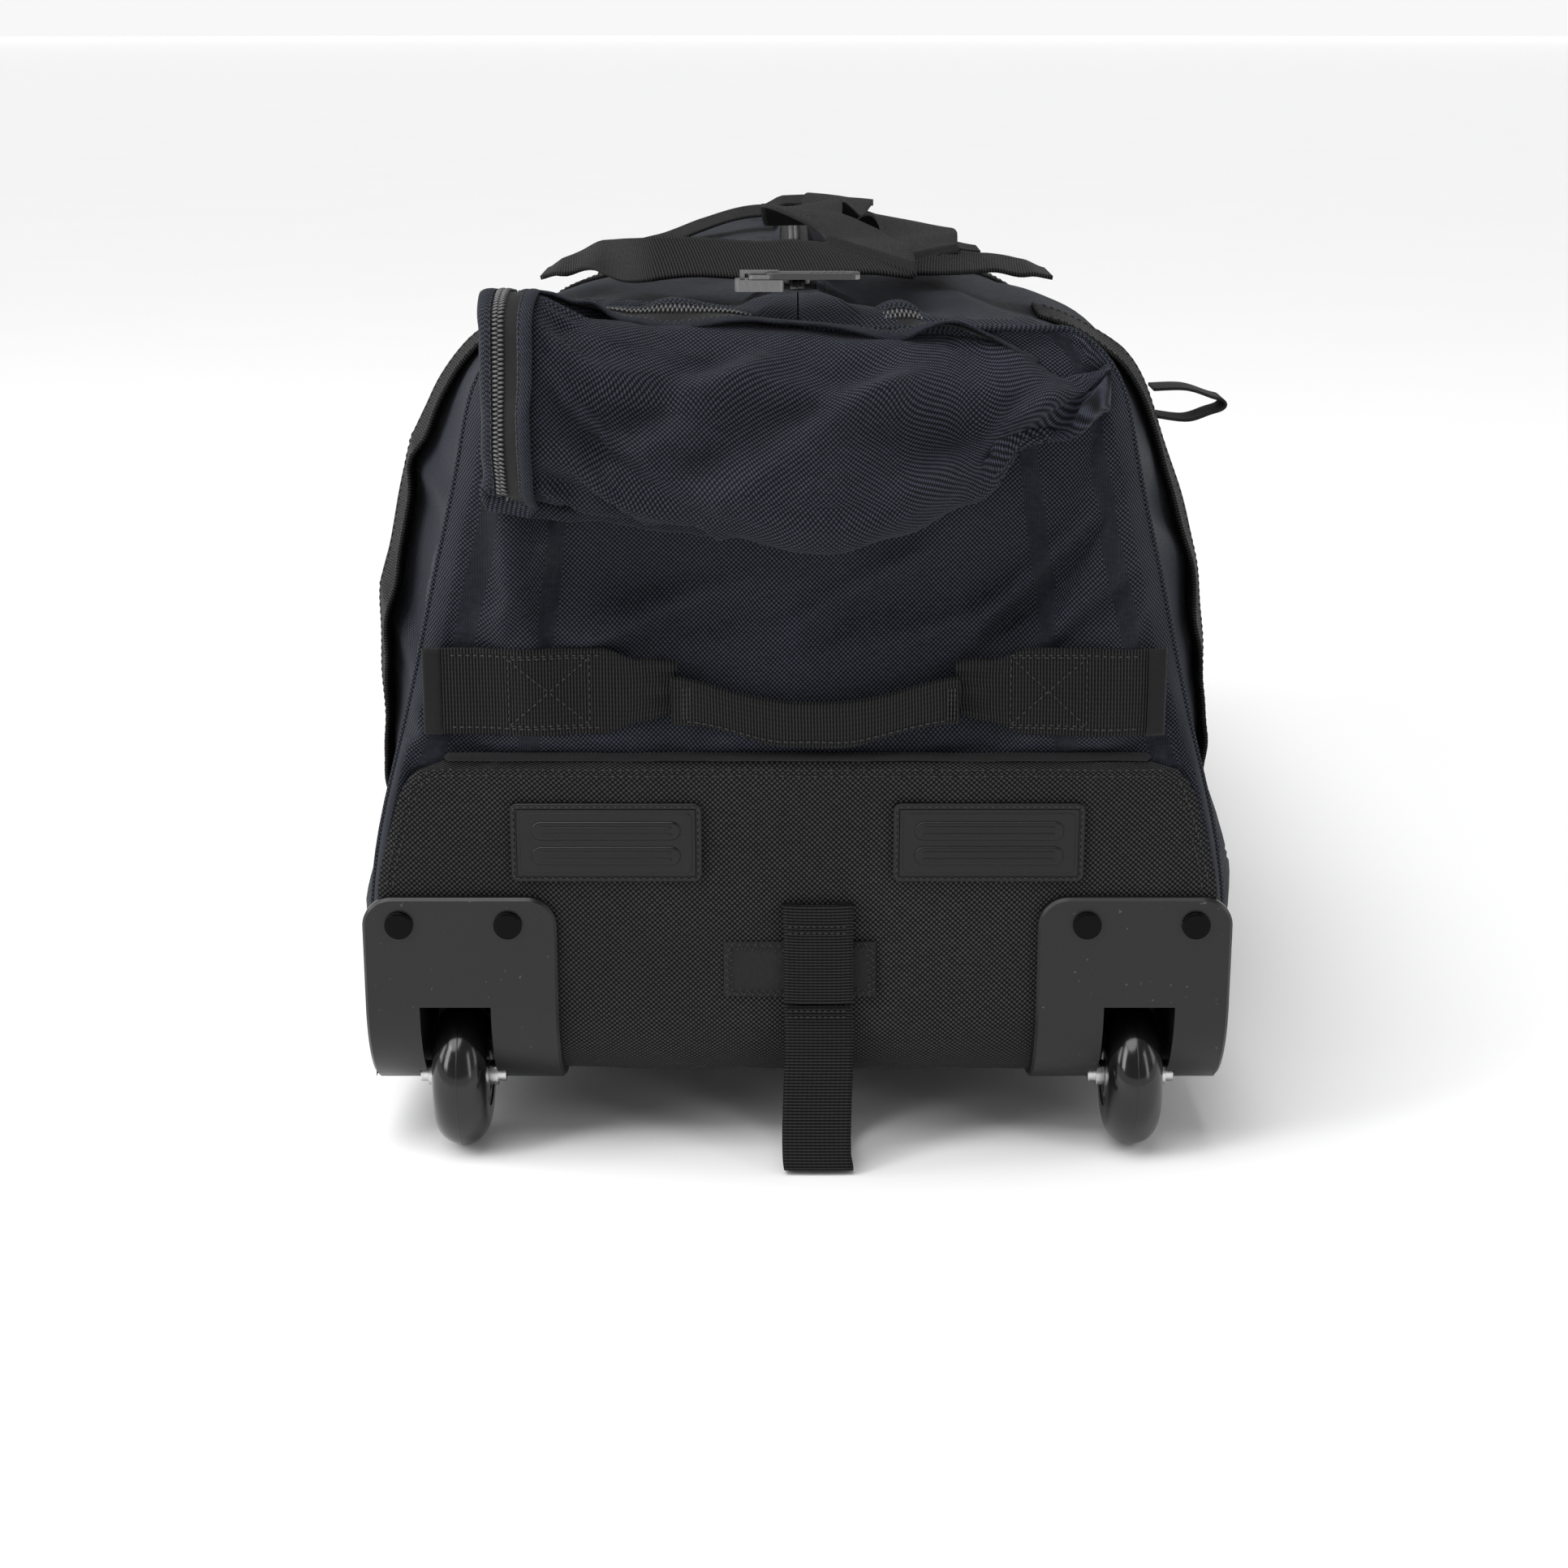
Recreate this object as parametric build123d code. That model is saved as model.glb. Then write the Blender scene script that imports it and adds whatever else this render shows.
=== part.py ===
from build123d import *
import math
import os

# Rolling duffel bag lying on its wheels, in millimetres.
# +Y runs from the wheel end to the tow-handle end, +X to the right when the
# wheel end is faced, +Z up. While it is modelled, y = 0 is the front of the
# wheel housings; everything is moved at the end so that the origin is the
# middle of the bag's footprint on the floor.

# ---------------------------------------------------------------- main sizes
bag_length = 800.0            # fabric to fabric, wheel end to tow end
top_height = 374.0            # top of the fabric shell above the floor
base_clearance = 28.0         # floor to the underside of the base fabric
end_taper = 195.0             # length over which each end swells to full width
corner_radius = 45.0          # roll of the base fabric up the ends

# half widths of the shell at rising heights: at the ends, and in the middle
drawn_top = 374.0             # top height that the outline below is drawn for
drawn_heights = (20.0, 80.0, 140.0, 200.0, 260.0, 310.0, 350.0, 368.0, 378.0)
shell_heights = tuple(height * top_height / drawn_top for height in drawn_heights)
end_half_widths = (184.0, 186.0, 180.0, 164.0, 150.0, 139.0, 127.0, 100.0, 50.0)
mid_half_widths = (186.0, 203.0, 208.0, 207.0, 197.0, 180.0, 152.0, 106.0, 50.0)

# layers
plate_t = 4.0                 # moulded wheel housing
base_fabric_t = 2.5           # coarse base fabric with its backing
shell_t = 3.0                 # shell fabric with its lining
board_t = 3.0                 # stiffening boards
webbing_t = 2.0               # handle webbing
webbing_play = 0.3            # sewn bands over the curved shell

# panels
end_seam_inset = 14.0         # end panel turns this far round to its seam
side_strip_top = 92.0         # seam between the base strip and the side panel
stiffener_reach = 112.0       # end of the bent board along the base
stiffener_play = 2.0          # between the bent board and the side fabric
corner_half = 176.0           # half width of the end panels' rolled lower edge
base_panel_top = 182.0        # top of the base fabric on the ends
base_panel_half_top = 168.5   # its half width there
base_panel_half_mid = 181.0   # its half width at mid height
base_panel_mid = 120.0
base_panel_round = 18.0
piping_r = 2.0                # piping along the top of the base fabric

# wheels
wheel_diameter = 64.0
wheel_width = 24.0
wheel_track = 298.0
axle_setback = wheel_diameter / 2 - 7.5   # the tread stands ahead of the housings
hub_diameter = 30.0
bearing_od = 22.0
bearing_bore = 8.0
bearing_width = 7.0
bearing_setback = 0.5         # wheel face to bearing face
shield_outer = 9.4            # radii of the groove over each bearing's shield
shield_inner = 6.0
shield_depth = 0.4
sleeve_radius = 5.6
hub_bore_radius = 6.5
running_clearance = 0.05      # radial, bearing bore on the axle
end_float = 0.2               # wheel to side spacers
slot_width = 31.0             # wheel slot in the housing
slot_top = wheel_diameter + 8.0
slot_wall = 3.5               # cheek that carries the axle
wheel_gap = 5.0               # behind the wheel, inside its well
axle_notch = 2.5              # height of the notch beside the slot

# wheel housings
housing_width = 84.0
housing_top = 122.0
housing_depth = 95.0
housing_round = 13.0
housing_edge = 1.2
rivet_spacing = 47.0
rivet_height = 110.0
rivet_head = 12.0
rivet_shank = 5.0
rivet_tail = 8.0
rivet_head_t = 2.0
rivet_tail_t = 1.5

# skid pads, patch and closing strap
pad_width = 82.0
pad_height = 35.0
pad_t = 3.0
pad_border = 4.5
pad_runner_height = 8.0
pad_runner_z = 7.5            # runners above and below the pad's middle
pad_centre_x = 82.0
pad_centre_z = 146.5
patch_width = 66.0
patch_height = 25.0
patch_t = 1.2
patch_centre_z = 88.5
strap_width = 30.0
strap_t = 1.6
strap_centre_x = 9.0
strap_top = 119.0
strap_fold = 72.5             # where the strap starts to peel
strap_reach = 19.5            # how far the loop bellies out
strap_floor_gap = 0.5

# wheel-end grab handle
grab_width = 37.0
grab_bottom = 194.0
grab_left = -158.0
grab_right = 155.0
grab_grip_left = -51.0
grab_grip_right = 66.0
grab_grip_height = 19.0
grab_grip_t = 5.0
grab_gap = 2.0                # between the grip and each anchor

# carry handles
leg_width = 45.0
leg_start = 150.0             # near edge of each band, from the wheel end
leg_top_x = 118.0             # where the sewn band ends and the loop starts
carry_reach = 110.0
carry_band = 38.0
carry_t = 3.0
carry_tilt = 11.0
carry_round = 46.0
carry_lift = 5.0              # hinge line above the shell
carry_hinge_gap = 1.5

# main zip
zip_inset = 66.0              # zip ends from the fabric ends
zip_slot = 16.0
tape_t = 1.5
coil_width = 6.0
coil_height = 2.5
slider_length = 20.0
slider_clearance = 0.4
slider_wall = 2.2
slider_top_t = 2.2
pull_length = 34.0
pull_width = 7.0
pull_t = 1.8
pull_bar = 1.0                # cross bar that turns in the slider's bridge
pull_inset = 5.4              # pivot inside the slider's end
pull_play = 0.2
main_slider_start = 40.0      # slider parked this far from the zip's end

# end pocket
pocket_height = 89.0          # below the top of the fabric
pocket_over_grab = 20.0       # least room between the grab handle and the pocket
pocket_bottom = max(top_height - pocket_height, grab_bottom + grab_width + pocket_over_grab)
pocket_bulge = 19.0           # ahead of the fabric
pocket_half_width = 128.0
pocket_top_rise = 3.0         # above the shell
pocket_depth = 46.0           # back over the top
pocket_roll = 34.0
pocket_coil_y = 23.0
pocket_tape_width = 20.0
pocket_tape_t = 0.8
pocket_run_x = -118.0         # upright run of the pocket zip
pocket_run_bottom = pocket_bottom + 13.0
pocket_zip_end = 100.0
pocket_slider_x = -16.0
pocket_pull_length = 26.0
pocket_pull_width = 9.0

# side loop
loop_width = 22.0
loop_t = 1.6
loop_start = 203.0
loop_root_x = 187.0
loop_tip_x = 214.0
loop_centre_z = top_height - 68.0
loop_root_height = 18.0
loop_tip_half = 3.5           # half height of the loop at its tip
loop_tip_inset = 5.0
loop_tip_round = 3.0

# tow handle and feet at the far end
tow_hinge_z = top_height - 74.0
tow_span = 150.0
tow_web_width = 25.0
tow_drop = 62.0
tow_grip_d = 22.0
tow_gap = 2.5
tow_anchor_height = 34.0
foot_width = 62.0
foot_depth = 58.0
foot_centre_x = 140.0
foot_setback = 20.0
foot_flange_t = 5.0
foot_rivet_inset = 7.5

# ---------------------------------------------------------- derived planes
fabric_front = plate_t
fabric_back = fabric_front + bag_length
shell_front = fabric_front + base_fabric_t
shell_back = fabric_back - base_fabric_t
shell_bottom = base_clearance + base_fabric_t
fabric_mid = (fabric_front + fabric_back) / 2
wheel_radius = wheel_diameter / 2
axle_z = wheel_radius
track_half = wheel_track / 2
axle_half = slot_width / 2 + slot_wall
tow_grip_y = shell_back + tow_gap + tow_grip_d / 2
front_reach = -strap_reach + 1.0
back_reach = tow_grip_y + tow_grip_d / 2
origin_y = (front_reach + back_reach) / 2
far = 400.0

parts = {}


# ------------------------------------------------------------------ helpers
def block(x0, x1, y0, y1, z0, z1):
    """Box between two corners."""
    centre = Pos((x0 + x1) / 2, (y0 + y1) / 2, (z0 + z1) / 2)
    return centre * Box(x1 - x0, y1 - y0, z1 - z0)


def rod_x(x0, x1, y, z, radius):
    """Round bar along X."""
    turned = Rot(0, 90, 0) * Cylinder(radius, x1 - x0)
    return Pos((x0 + x1) / 2, y, z) * turned


def rod_y(y0, y1, x, z, radius):
    """Round bar along Y."""
    turned = Rot(90, 0, 0) * Cylinder(radius, y1 - y0)
    return Pos(x, (y0 + y1) / 2, z) * turned


def rod_z(z0, z1, x, y, radius):
    """Round bar along Z."""
    return Pos(x, y, (z0 + z1) / 2) * Cylinder(radius, z1 - z0)


def flip_x(solid):
    """The same piece on the other side of the bag."""
    return mirror(solid, about=Plane.YZ)


def keep_pair(name, left_solid):
    """Store both hands of a piece; the left is the right one flipped, so they match exactly."""
    right_solid = flip_x(left_solid)
    parts[name + "_right"] = right_solid
    parts[name + "_left"] = flip_x(right_solid)


def flip_y(solid):
    """The same piece at the other end of the bag."""
    return mirror(solid, about=Plane.XZ.offset(-fabric_mid))


def side_profile(grow):
    """Length by height outline of the base fabric, grown outward, right across."""
    height = top_height + base_fabric_t - base_clearance
    centre = Pos(fabric_mid, base_clearance + height / 2)
    outline = RectangleRounded(bag_length + 2 * grow, height + 2 * grow, corner_radius + grow)
    return extrude(Plane.YZ * centre * outline, amount=far, both=True)


def section(half_widths, y, grow):
    """Cross-section of the shell at one place along the bag, grown outward."""
    right = []
    last = len(shell_heights) - 1
    for i, height in enumerate(shell_heights):
        below = max(i - 1, 0)
        above = min(i + 1, last)
        dx = half_widths[above] - half_widths[below]
        dz = shell_heights[above] - shell_heights[below]
        size = math.hypot(dx, dz)
        out_x = half_widths[i] + grow * dz / size
        out_z = height - grow * dx / size
        if i == 0:
            out_z = height
        right.append(Vector(out_x, y, out_z))
    left = [Vector(-point.X, y, point.Z) for point in reversed(right)]
    up = Spline(*right)
    across = Line(right[-1], left[0])
    down = Spline(*left)
    under = Line(left[-1], right[0])
    return Face(Wire([up.edge(), across.edge(), down.edge(), under.edge()]))


def shell_solid(grow):
    """The bag's outer shape without its base fabric, grown outward."""
    faces = [
        section(end_half_widths, shell_front - grow, grow),
        section(mid_half_widths, shell_front + end_taper, grow),
        section(mid_half_widths, shell_back - end_taper, grow),
        section(end_half_widths, shell_back + grow, grow),
    ]
    return loft(faces, ruled=True) & side_profile(grow - base_fabric_t)


# ------------------------------------------------------------- wheel corner
def well_block():
    """Space that one wheel well takes out of the fabric and boards."""
    y1 = axle_setback + wheel_radius + wheel_gap + slot_wall
    z1 = slot_top + slot_wall
    return block(track_half - axle_half, track_half + axle_half, -1, y1, 0, z1)


def rivet_places():
    """Left-right places of the two rivets of the right housing."""
    return [track_half - 0.5 + side * rivet_spacing / 2 for side in (-1, 1)]


def shank_cutters():
    """Rivet shanks of the right housing as cutting bars."""
    bars = [rod_y(-1, 30, x, rivet_height, rivet_shank / 2) for x in rivet_places()]
    return Part() + bars


def both_sides(solid):
    """A right-hand cutter with its left-hand twin."""
    return Part() + [solid, flip_x(solid)]


def wheel_housing():
    """Right moulded housing: wrapped plate, wheel well and axle cheeks."""
    inner = housing_centre - housing_width / 2
    outer = housing_centre + housing_width / 2
    wrap = side_profile(plate_t) - side_profile(0)
    wrap &= block(inner, outer, -10, housing_depth, 0, housing_top)
    front = Pos(housing_centre, housing_top - far / 2) * RectangleRounded(
        housing_width, far, housing_round)
    wrap &= extrude(Plane.XZ * front, amount=far, both=True)
    under = Pos(housing_centre, housing_depth - far / 2) * RectangleRounded(
        housing_width, far, housing_round)
    wrap &= extrude(under, amount=far, both=True)
    outer_face = side_profile(plate_t - 0.01)
    rim = [edge for edge in wrap.edges() if not outer_face.is_inside(edge.center())]
    wrap = chamfer(rim, housing_edge)
    well = well_block() & side_profile(plate_t)
    y1 = axle_setback + wheel_radius + wheel_gap
    half = slot_width / 2
    room = block(track_half - half, track_half + half, -10, y1, 0, slot_top)
    notch_z = axle_z + 1.0
    notch = block(track_half - axle_half, track_half + axle_half, -10, axle_setback,
                  notch_z, notch_z + axle_notch)
    seat = rod_x(track_half - axle_half, track_half + axle_half, axle_setback, axle_z,
                 bearing_bore / 2)
    return wrap + well - room - notch - seat - shank_cutters()


def rivets():
    """The two cap rivets of the right housing."""
    back = shell_front + shell_t + board_t + webbing_t
    made = []
    for x in rivet_places():
        cap = rod_y(-rivet_head_t, 0, x, rivet_height, rivet_head / 2)
        cap = fillet(cap.edges().group_by(Axis.Y)[0], rivet_head_t * 0.6)
        shank = rod_y(0, back, x, rivet_height, rivet_shank / 2)
        tail = rod_y(back, back + rivet_tail_t, x, rivet_height, rivet_tail / 2)
        made.append(cap + shank + tail)
    return Compound(children=[solid.solid() for solid in made])


def tyre():
    """Skate wheel tyre with a full round tread, turning about X."""
    half = wheel_width / 2
    shoulder = wheel_radius - half
    flank = Pos(0, (hub_diameter / 2 + shoulder) / 2) * Rectangle(
        wheel_width, shoulder - hub_diameter / 2)
    tread = Pos(0, shoulder) * Circle(half)
    top = Pos(0, shoulder + half / 2) * Rectangle(wheel_width, half)
    return revolve(flank + (tread & top), axis=Axis.X)


def hub():
    """Wheel core with a bearing pocket in each side."""
    half = wheel_width / 2 - bearing_setback
    pocket = half - bearing_width
    body = rod_x(-half, half, 0, 0, hub_diameter / 2)
    body -= rod_x(pocket, half, 0, 0, bearing_od / 2)
    body -= rod_x(-half, -pocket, 0, 0, bearing_od / 2)
    return body - rod_x(-half, half, 0, 0, hub_bore_radius)


def bearings():
    """A ball bearing in each side of the wheel."""
    half = wheel_width / 2 - bearing_setback
    ring = rod_x(half - bearing_width, half, 0, 0, bearing_od / 2)
    ring -= rod_x(half - bearing_width, half, 0, 0, bearing_bore / 2 + running_clearance)
    shield = rod_x(half - shield_depth, half, 0, 0, shield_outer)
    ring -= shield - rod_x(half - shield_depth, half, 0, 0, shield_inner)
    return Compound(children=[ring.solid(), flip_x(ring).solid()])


def bearing_sleeve():
    """Sleeve that keeps the two bearings apart on the axle."""
    half = wheel_width / 2 - bearing_setback - bearing_width
    outer = rod_x(-half, half, 0, 0, sleeve_radius)
    return outer - rod_x(-half, half, 0, 0, bearing_bore / 2 + running_clearance)


def side_spacers():
    """Steel spacer between each bearing and its cheek."""
    x0 = wheel_width / 2 - bearing_setback + end_float
    spacer = rod_x(x0, slot_width / 2, 0, 0, sleeve_radius)
    spacer -= rod_x(x0, slot_width / 2, 0, 0, bearing_bore / 2)
    return Compound(children=[spacer.solid(), flip_x(spacer).solid()])


# ------------------------------------------------------------- fabric shell
housing_centre = track_half - 3.0
outer_shape = shell_solid(0)
shell = outer_shape - shell_solid(-shell_t)
wells = both_sides(well_block())
shanks = both_sides(shank_cutters())
seam_front = shell_front + end_seam_inset
seam_back = shell_back - end_seam_inset
board_top = shell_bottom + shell_t
zip_front = fabric_front + zip_inset
zip_back = fabric_back - zip_inset
zip_gap = block(-zip_slot / 2, zip_slot / 2, zip_front, zip_back, top_height - 20, top_height + 5)


def panel(x0, x1, y0, y1, z0, z1):
    """Piece of the fabric shell between seams."""
    return shell & block(x0, x1, y0, y1, z0, z1)


low_core = block(-corner_half, corner_half, -far, 2000, 0, side_strip_top)
side_strip = panel(-far, 0, seam_front, seam_back, board_top, side_strip_top) - low_core
side_half = panel(-far, 0, seam_front, seam_back, side_strip_top, far) - zip_gap
keep_pair("side_strip", side_strip)
keep_pair("side_panel", side_half)
low_roll = panel(-corner_half, corner_half, -far, fabric_mid, board_top, side_strip_top)
end_panel = panel(-far, far, -far, seam_front, board_top, far) + low_roll
parts["end_panel_wheel"] = end_panel - wells - shanks
parts["end_panel_tow"] = flip_y(end_panel)
parts["base_board"] = (outer_shape & block(-far, far, -far, 2000, 0, board_top)) - wells


def base_fabric():
    """Coarse fabric that runs under the bag and up both ends."""
    wrap = side_profile(0) - side_profile(-base_fabric_t)
    outline = Polyline(
        (end_half_widths[0], 0), (end_half_widths[0] + 2, 60),
        (base_panel_half_mid, base_panel_mid),
        (base_panel_half_top, base_panel_top), (-base_panel_half_top, base_panel_top),
        (-base_panel_half_mid, base_panel_mid),
        (-end_half_widths[0] - 2, 60), (-end_half_widths[0], 0), close=True)
    face = make_face(outline)
    upper = face.vertices().group_by(Axis.Y)[-1]
    face = fillet(upper, base_panel_round)
    return (wrap & extrude(Plane.XZ * face, amount=1500, both=True)) - wells - shanks


parts["base_fabric"] = base_fabric()


def end_stiffener():
    """Board bent up inside the wheel end, which the housings bolt to."""
    inset = base_fabric_t + shell_t
    board = side_profile(-inset) - side_profile(-inset - board_t)
    board &= shell_solid(-shell_t - stiffener_play)
    board &= block(-far, far, 0, stiffener_reach, 0, base_panel_top - 4)
    return board - wells - shanks


def backing_plate():
    """Metal strip under the rivet tails, inside the bag."""
    y0 = shell_front + shell_t + board_t
    x_low, x_high = rivet_places()
    plate = block(x_low - 7, x_high + 6, y0, y0 + webbing_t, rivet_height - 8, rivet_height + 8)
    return plate - shank_cutters()


parts["end_stiffener"] = end_stiffener()
parts["backing_plate_right"] = backing_plate()
parts["backing_plate_left"] = flip_x(backing_plate())
parts["end_piping"] = rod_x(-base_panel_half_top + base_panel_round, base_panel_half_top - base_panel_round,
                            shell_front - piping_r, base_panel_top + piping_r, piping_r)

# ------------------------------------------------------- wheels and housings
housing = wheel_housing()
for side, name in ((1, "right"), (-1, "left")):
    place = Pos(side * track_half, axle_setback, axle_z)
    parts["wheel_housing_" + name] = housing if side > 0 else flip_x(housing)
    parts["housing_rivets_" + name] = rivets() if side > 0 else flip_x(rivets())
    parts["wheel_axle_" + name] = place * rod_x(-axle_half, axle_half, 0, 0, bearing_bore / 2)
    parts["side_spacers_" + name] = place * side_spacers()
    parts["wheel_tyre_" + name] = place * tyre()
    parts["wheel_hub_" + name] = place * hub()
    parts["wheel_bearings_" + name] = place * bearings()
    parts["bearing_sleeve_" + name] = place * bearing_sleeve()


# ------------------------------------------------------ wheel-end trimmings
def skid_pad():
    """Moulded rubber pad with a border and two raised runners."""
    back = fabric_front
    half_w = pad_width / 2
    half_h = pad_height / 2
    plate = block(-half_w, half_w, back - pad_t + 1, back, -half_h, half_h)
    border = block(-half_w, half_w, back - pad_t, back - pad_t + 1, -half_h, half_h)
    half_w -= pad_border
    half_h -= pad_border
    border -= block(-half_w, half_w, back - pad_t, back - pad_t + 1, -half_h, half_h)
    pad = plate + border
    for z in (-pad_runner_z, pad_runner_z):
        face = Plane.XZ.offset(-(back - pad_t + 1))
        runner = face * Pos(0, z) * SlotOverall(pad_width - 14, pad_runner_height)
        pad += extrude(runner, amount=2.2)
    return Pos(0, 0, pad_centre_z) * pad


for side, name in ((1, "right"), (-1, "left")):
    parts["skid_pad_" + name] = Pos(side * pad_centre_x, 0, 0) * skid_pad()

patch_face = fabric_front - patch_t
parts["hook_patch"] = block(1 - patch_width / 2, 1 + patch_width / 2, patch_face, fabric_front,
                            patch_centre_z - patch_height / 2, patch_centre_z + patch_height / 2)

strap_x0 = strap_centre_x - strap_width / 2
strap_x1 = strap_centre_x + strap_width / 2
strap_y = patch_face - 0.4 - strap_t / 2


def strap_loop():
    """Strap that hangs from the patch to the floor and back under the base."""
    floor_z = strap_floor_gap + strap_t / 2
    sewn_z = base_clearance - strap_t / 2
    route = FilletPolyline(
        (strap_y, strap_fold), (strap_y - 2, 48), (-strap_reach, floor_z), (14, floor_z),
        (62, sewn_z), (108, sewn_z), radius=[40, 6, 30, 30])
    band = Plane.YZ * trace(route, line_width=strap_t)
    return Pos(strap_centre_x, 0, 0) * extrude(band, amount=strap_width / 2, both=True)


parts["closing_strap"] = strap_loop()
flap_y = strap_y - strap_t / 2
parts["closing_strap_end"] = block(strap_x0, strap_x1, flap_y - strap_t, flap_y + strap_t,
                                   strap_fold + 1.0, strap_top)

grab_top = grab_bottom + grab_width
grab_face = shell_front - webbing_t
parts["grab_anchor_left"] = block(grab_left, grab_grip_left - grab_gap, grab_face, shell_front,
                                  grab_bottom, grab_top)
parts["grab_anchor_right"] = block(grab_grip_right + grab_gap, grab_right, grab_face, shell_front,
                                   grab_bottom, grab_top)
grab_axis_y = shell_front - 2.7
grab_axis_z = grab_top - 12.0


def grab_grip():
    """Doubled middle of the grab handle, sagging between its ends."""
    high = grab_axis_z - 0.5 - grab_grip_height / 2
    sag = high - 9.0
    route = FilletPolyline((grab_grip_left, high), (grab_grip_left + 38, sag), (grab_grip_right - 38, sag),
                           (grab_grip_right, high), radius=[40, 40])
    band = trace(route, line_width=grab_grip_height)
    solid = extrude(Plane.XZ * band, amount=grab_grip_t / 2, both=True)
    return Pos(0, grab_axis_y - 0.3 - grab_grip_t / 2, 0) * solid


parts["grab_grip"] = grab_grip()


# ------------------------------------------------------------ carry handles
def carry_legs():
    """Webbing bands sewn up the left side, one near each end."""
    near = block(-far, -leg_top_x - 0.5, leg_start, leg_start + leg_width, side_strip_top + 2, far)
    band = (shell_solid(webbing_play + webbing_t) & near) - shell_solid(webbing_play)
    return Compound(children=[band.solid(), flip_y(band).solid()])


def carry_hinge_z():
    """Height of the hinge line, found from the middle cross-section."""
    probe = Vertex(-leg_top_x, fabric_mid, 2 * far).center()
    line = Edge.make_line(probe, Vector(-leg_top_x, fabric_mid, top_height / 2))
    hit = (outer_shape & line).vertices().sort_by(Axis.Z)[-1]
    return hit.Z + carry_lift


def carry_loop(hinge_z):
    """Free loop of the left carry handle, lying towards the middle."""
    y0 = leg_start
    y1 = 2 * fabric_mid - leg_start
    outline = Pos(carry_reach / 2, (y0 + y1) / 2) * Rectangle(carry_reach, y1 - y0)
    tips = outline.vertices().group_by(Axis.X)[-1]
    outline = fillet(tips, carry_round)
    gap = Pos((carry_reach - carry_band) / 2, (y0 + y1) / 2) * Rectangle(
        carry_reach - carry_band, y1 - y0 - 2 * leg_width)
    inner_tips = gap.vertices().group_by(Axis.X)[-1]
    gap = fillet(inner_tips, carry_round / 2)
    trimmed = (outline - gap) & (Pos(far / 2 + carry_hinge_gap, (y0 + y1) / 2) * Rectangle(far, 4 * far))
    plate = extrude(trimmed, amount=carry_t)
    return Pos(-leg_top_x, 0, hinge_z) * Rot(0, -carry_tilt, 0) * plate


carry_z = carry_hinge_z()
keep_pair("carry_legs", carry_legs())
keep_pair("carry_handle", carry_loop(carry_z))

# ----------------------------------------------------------------- main zip
tape_z = top_height - 1.0
coil_z = tape_z + coil_height
parts["main_zip_tape"] = block(-zip_slot / 2, zip_slot / 2, zip_front, zip_back, tape_z - tape_t, tape_z)
parts["main_zip_coil"] = block(-coil_width / 2, coil_width / 2, zip_front + 4, zip_back - 4, tape_z, coil_z)


def slider(length):
    """Zip slider that straddles a coil running along Y; its base is at z = 0."""
    inside = coil_width / 2 + slider_clearance
    outside = inside + slider_wall
    top = coil_height + slider_clearance
    height = top + slider_top_t - slider_clearance
    body = Pos(0, 0, slider_clearance) * extrude(RectangleRounded(2 * outside, length, 1.8), amount=height)
    body -= block(-inside, inside, -length / 2, length / 2, 0, top)
    bridge = block(-1.5, 1.5, -length / 2 + 2, length / 2 - 2, top + slider_top_t, top + slider_top_t + 3.6)
    bridge -= block(-1.5, 1.5, -length / 2 + 4, length / 2 - 4, top + slider_top_t, top + slider_top_t + 2.4)
    return body + bridge


slider_crown = coil_height + slider_clearance + slider_top_t


def pull(length, width):
    """Pull tab hung in the slider's bridge, pointing to -Y from its pivot."""
    tab = Pos(0, -length / 2) * RectangleRounded(width, length, 2.4)
    solid = extrude(tab, amount=pull_t)
    window = block(-1.8, 1.8, -length / 2, -pull_bar, -1, pull_t + 1)
    return solid - window + block(-width / 2, width / 2, -length * 0.62, -length * 0.5, 0, pull_t)


main_slider_y = zip_front + main_slider_start
pull_z = tape_z + slider_crown + pull_play
main_pivot_y = main_slider_y + slider_length / 2 - pull_inset
parts["main_slider"] = Pos(0, main_slider_y, tape_z) * slider(slider_length)
parts["main_pull"] = Pos(0, main_pivot_y, pull_z) * pull(pull_length, pull_width)


# --------------------------------------------------------------- end pocket
def pocket_profile(grow):
    """Length by height outline of the pocket, grown outward, right across."""
    y0 = fabric_front - pocket_bulge - grow
    z1 = top_height + pocket_top_rise + grow
    y1 = fabric_front + pocket_depth
    z0 = pocket_bottom
    outline = make_face(Polyline((y0, z0 + 12), (y0, z1), (y1, z1), (y1, z0), (shell_front, z0), close=True))
    roll = outline.vertices().sort_by(Axis.X)
    front = sorted(roll[:2], key=lambda vertex: vertex.Y)
    outline = fillet([front[1]], pocket_roll + grow)
    return extrude(Plane.YZ * outline, amount=far, both=True)


pocket_solid = pocket_profile(0)
pocket_block = block(-pocket_half_width, pocket_half_width, -100, 200, 0, 2 * far)
parts["end_pocket"] = (pocket_solid & pocket_block) - outer_shape
pocket_top = top_height + pocket_top_rise
tape_skin = pocket_profile(pocket_tape_t) - pocket_solid
coil_skin = pocket_profile(pocket_tape_t + coil_height) - pocket_profile(pocket_tape_t)


def pocket_route(skin, width):
    """Zip band up the pocket's left edge and across its top."""
    half = width / 2
    upright = skin & block(pocket_run_x - half, pocket_run_x + half, -100, pocket_coil_y + half,
                           pocket_run_bottom, far)
    across = skin & block(pocket_run_x, pocket_zip_end, pocket_coil_y - half, pocket_coil_y + half,
                          pocket_top - 1, far)
    return upright + across


parts["pocket_zip_tape"] = pocket_route(tape_skin, pocket_tape_width)
parts["pocket_zip_coil"] = pocket_route(coil_skin, coil_width)


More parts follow.
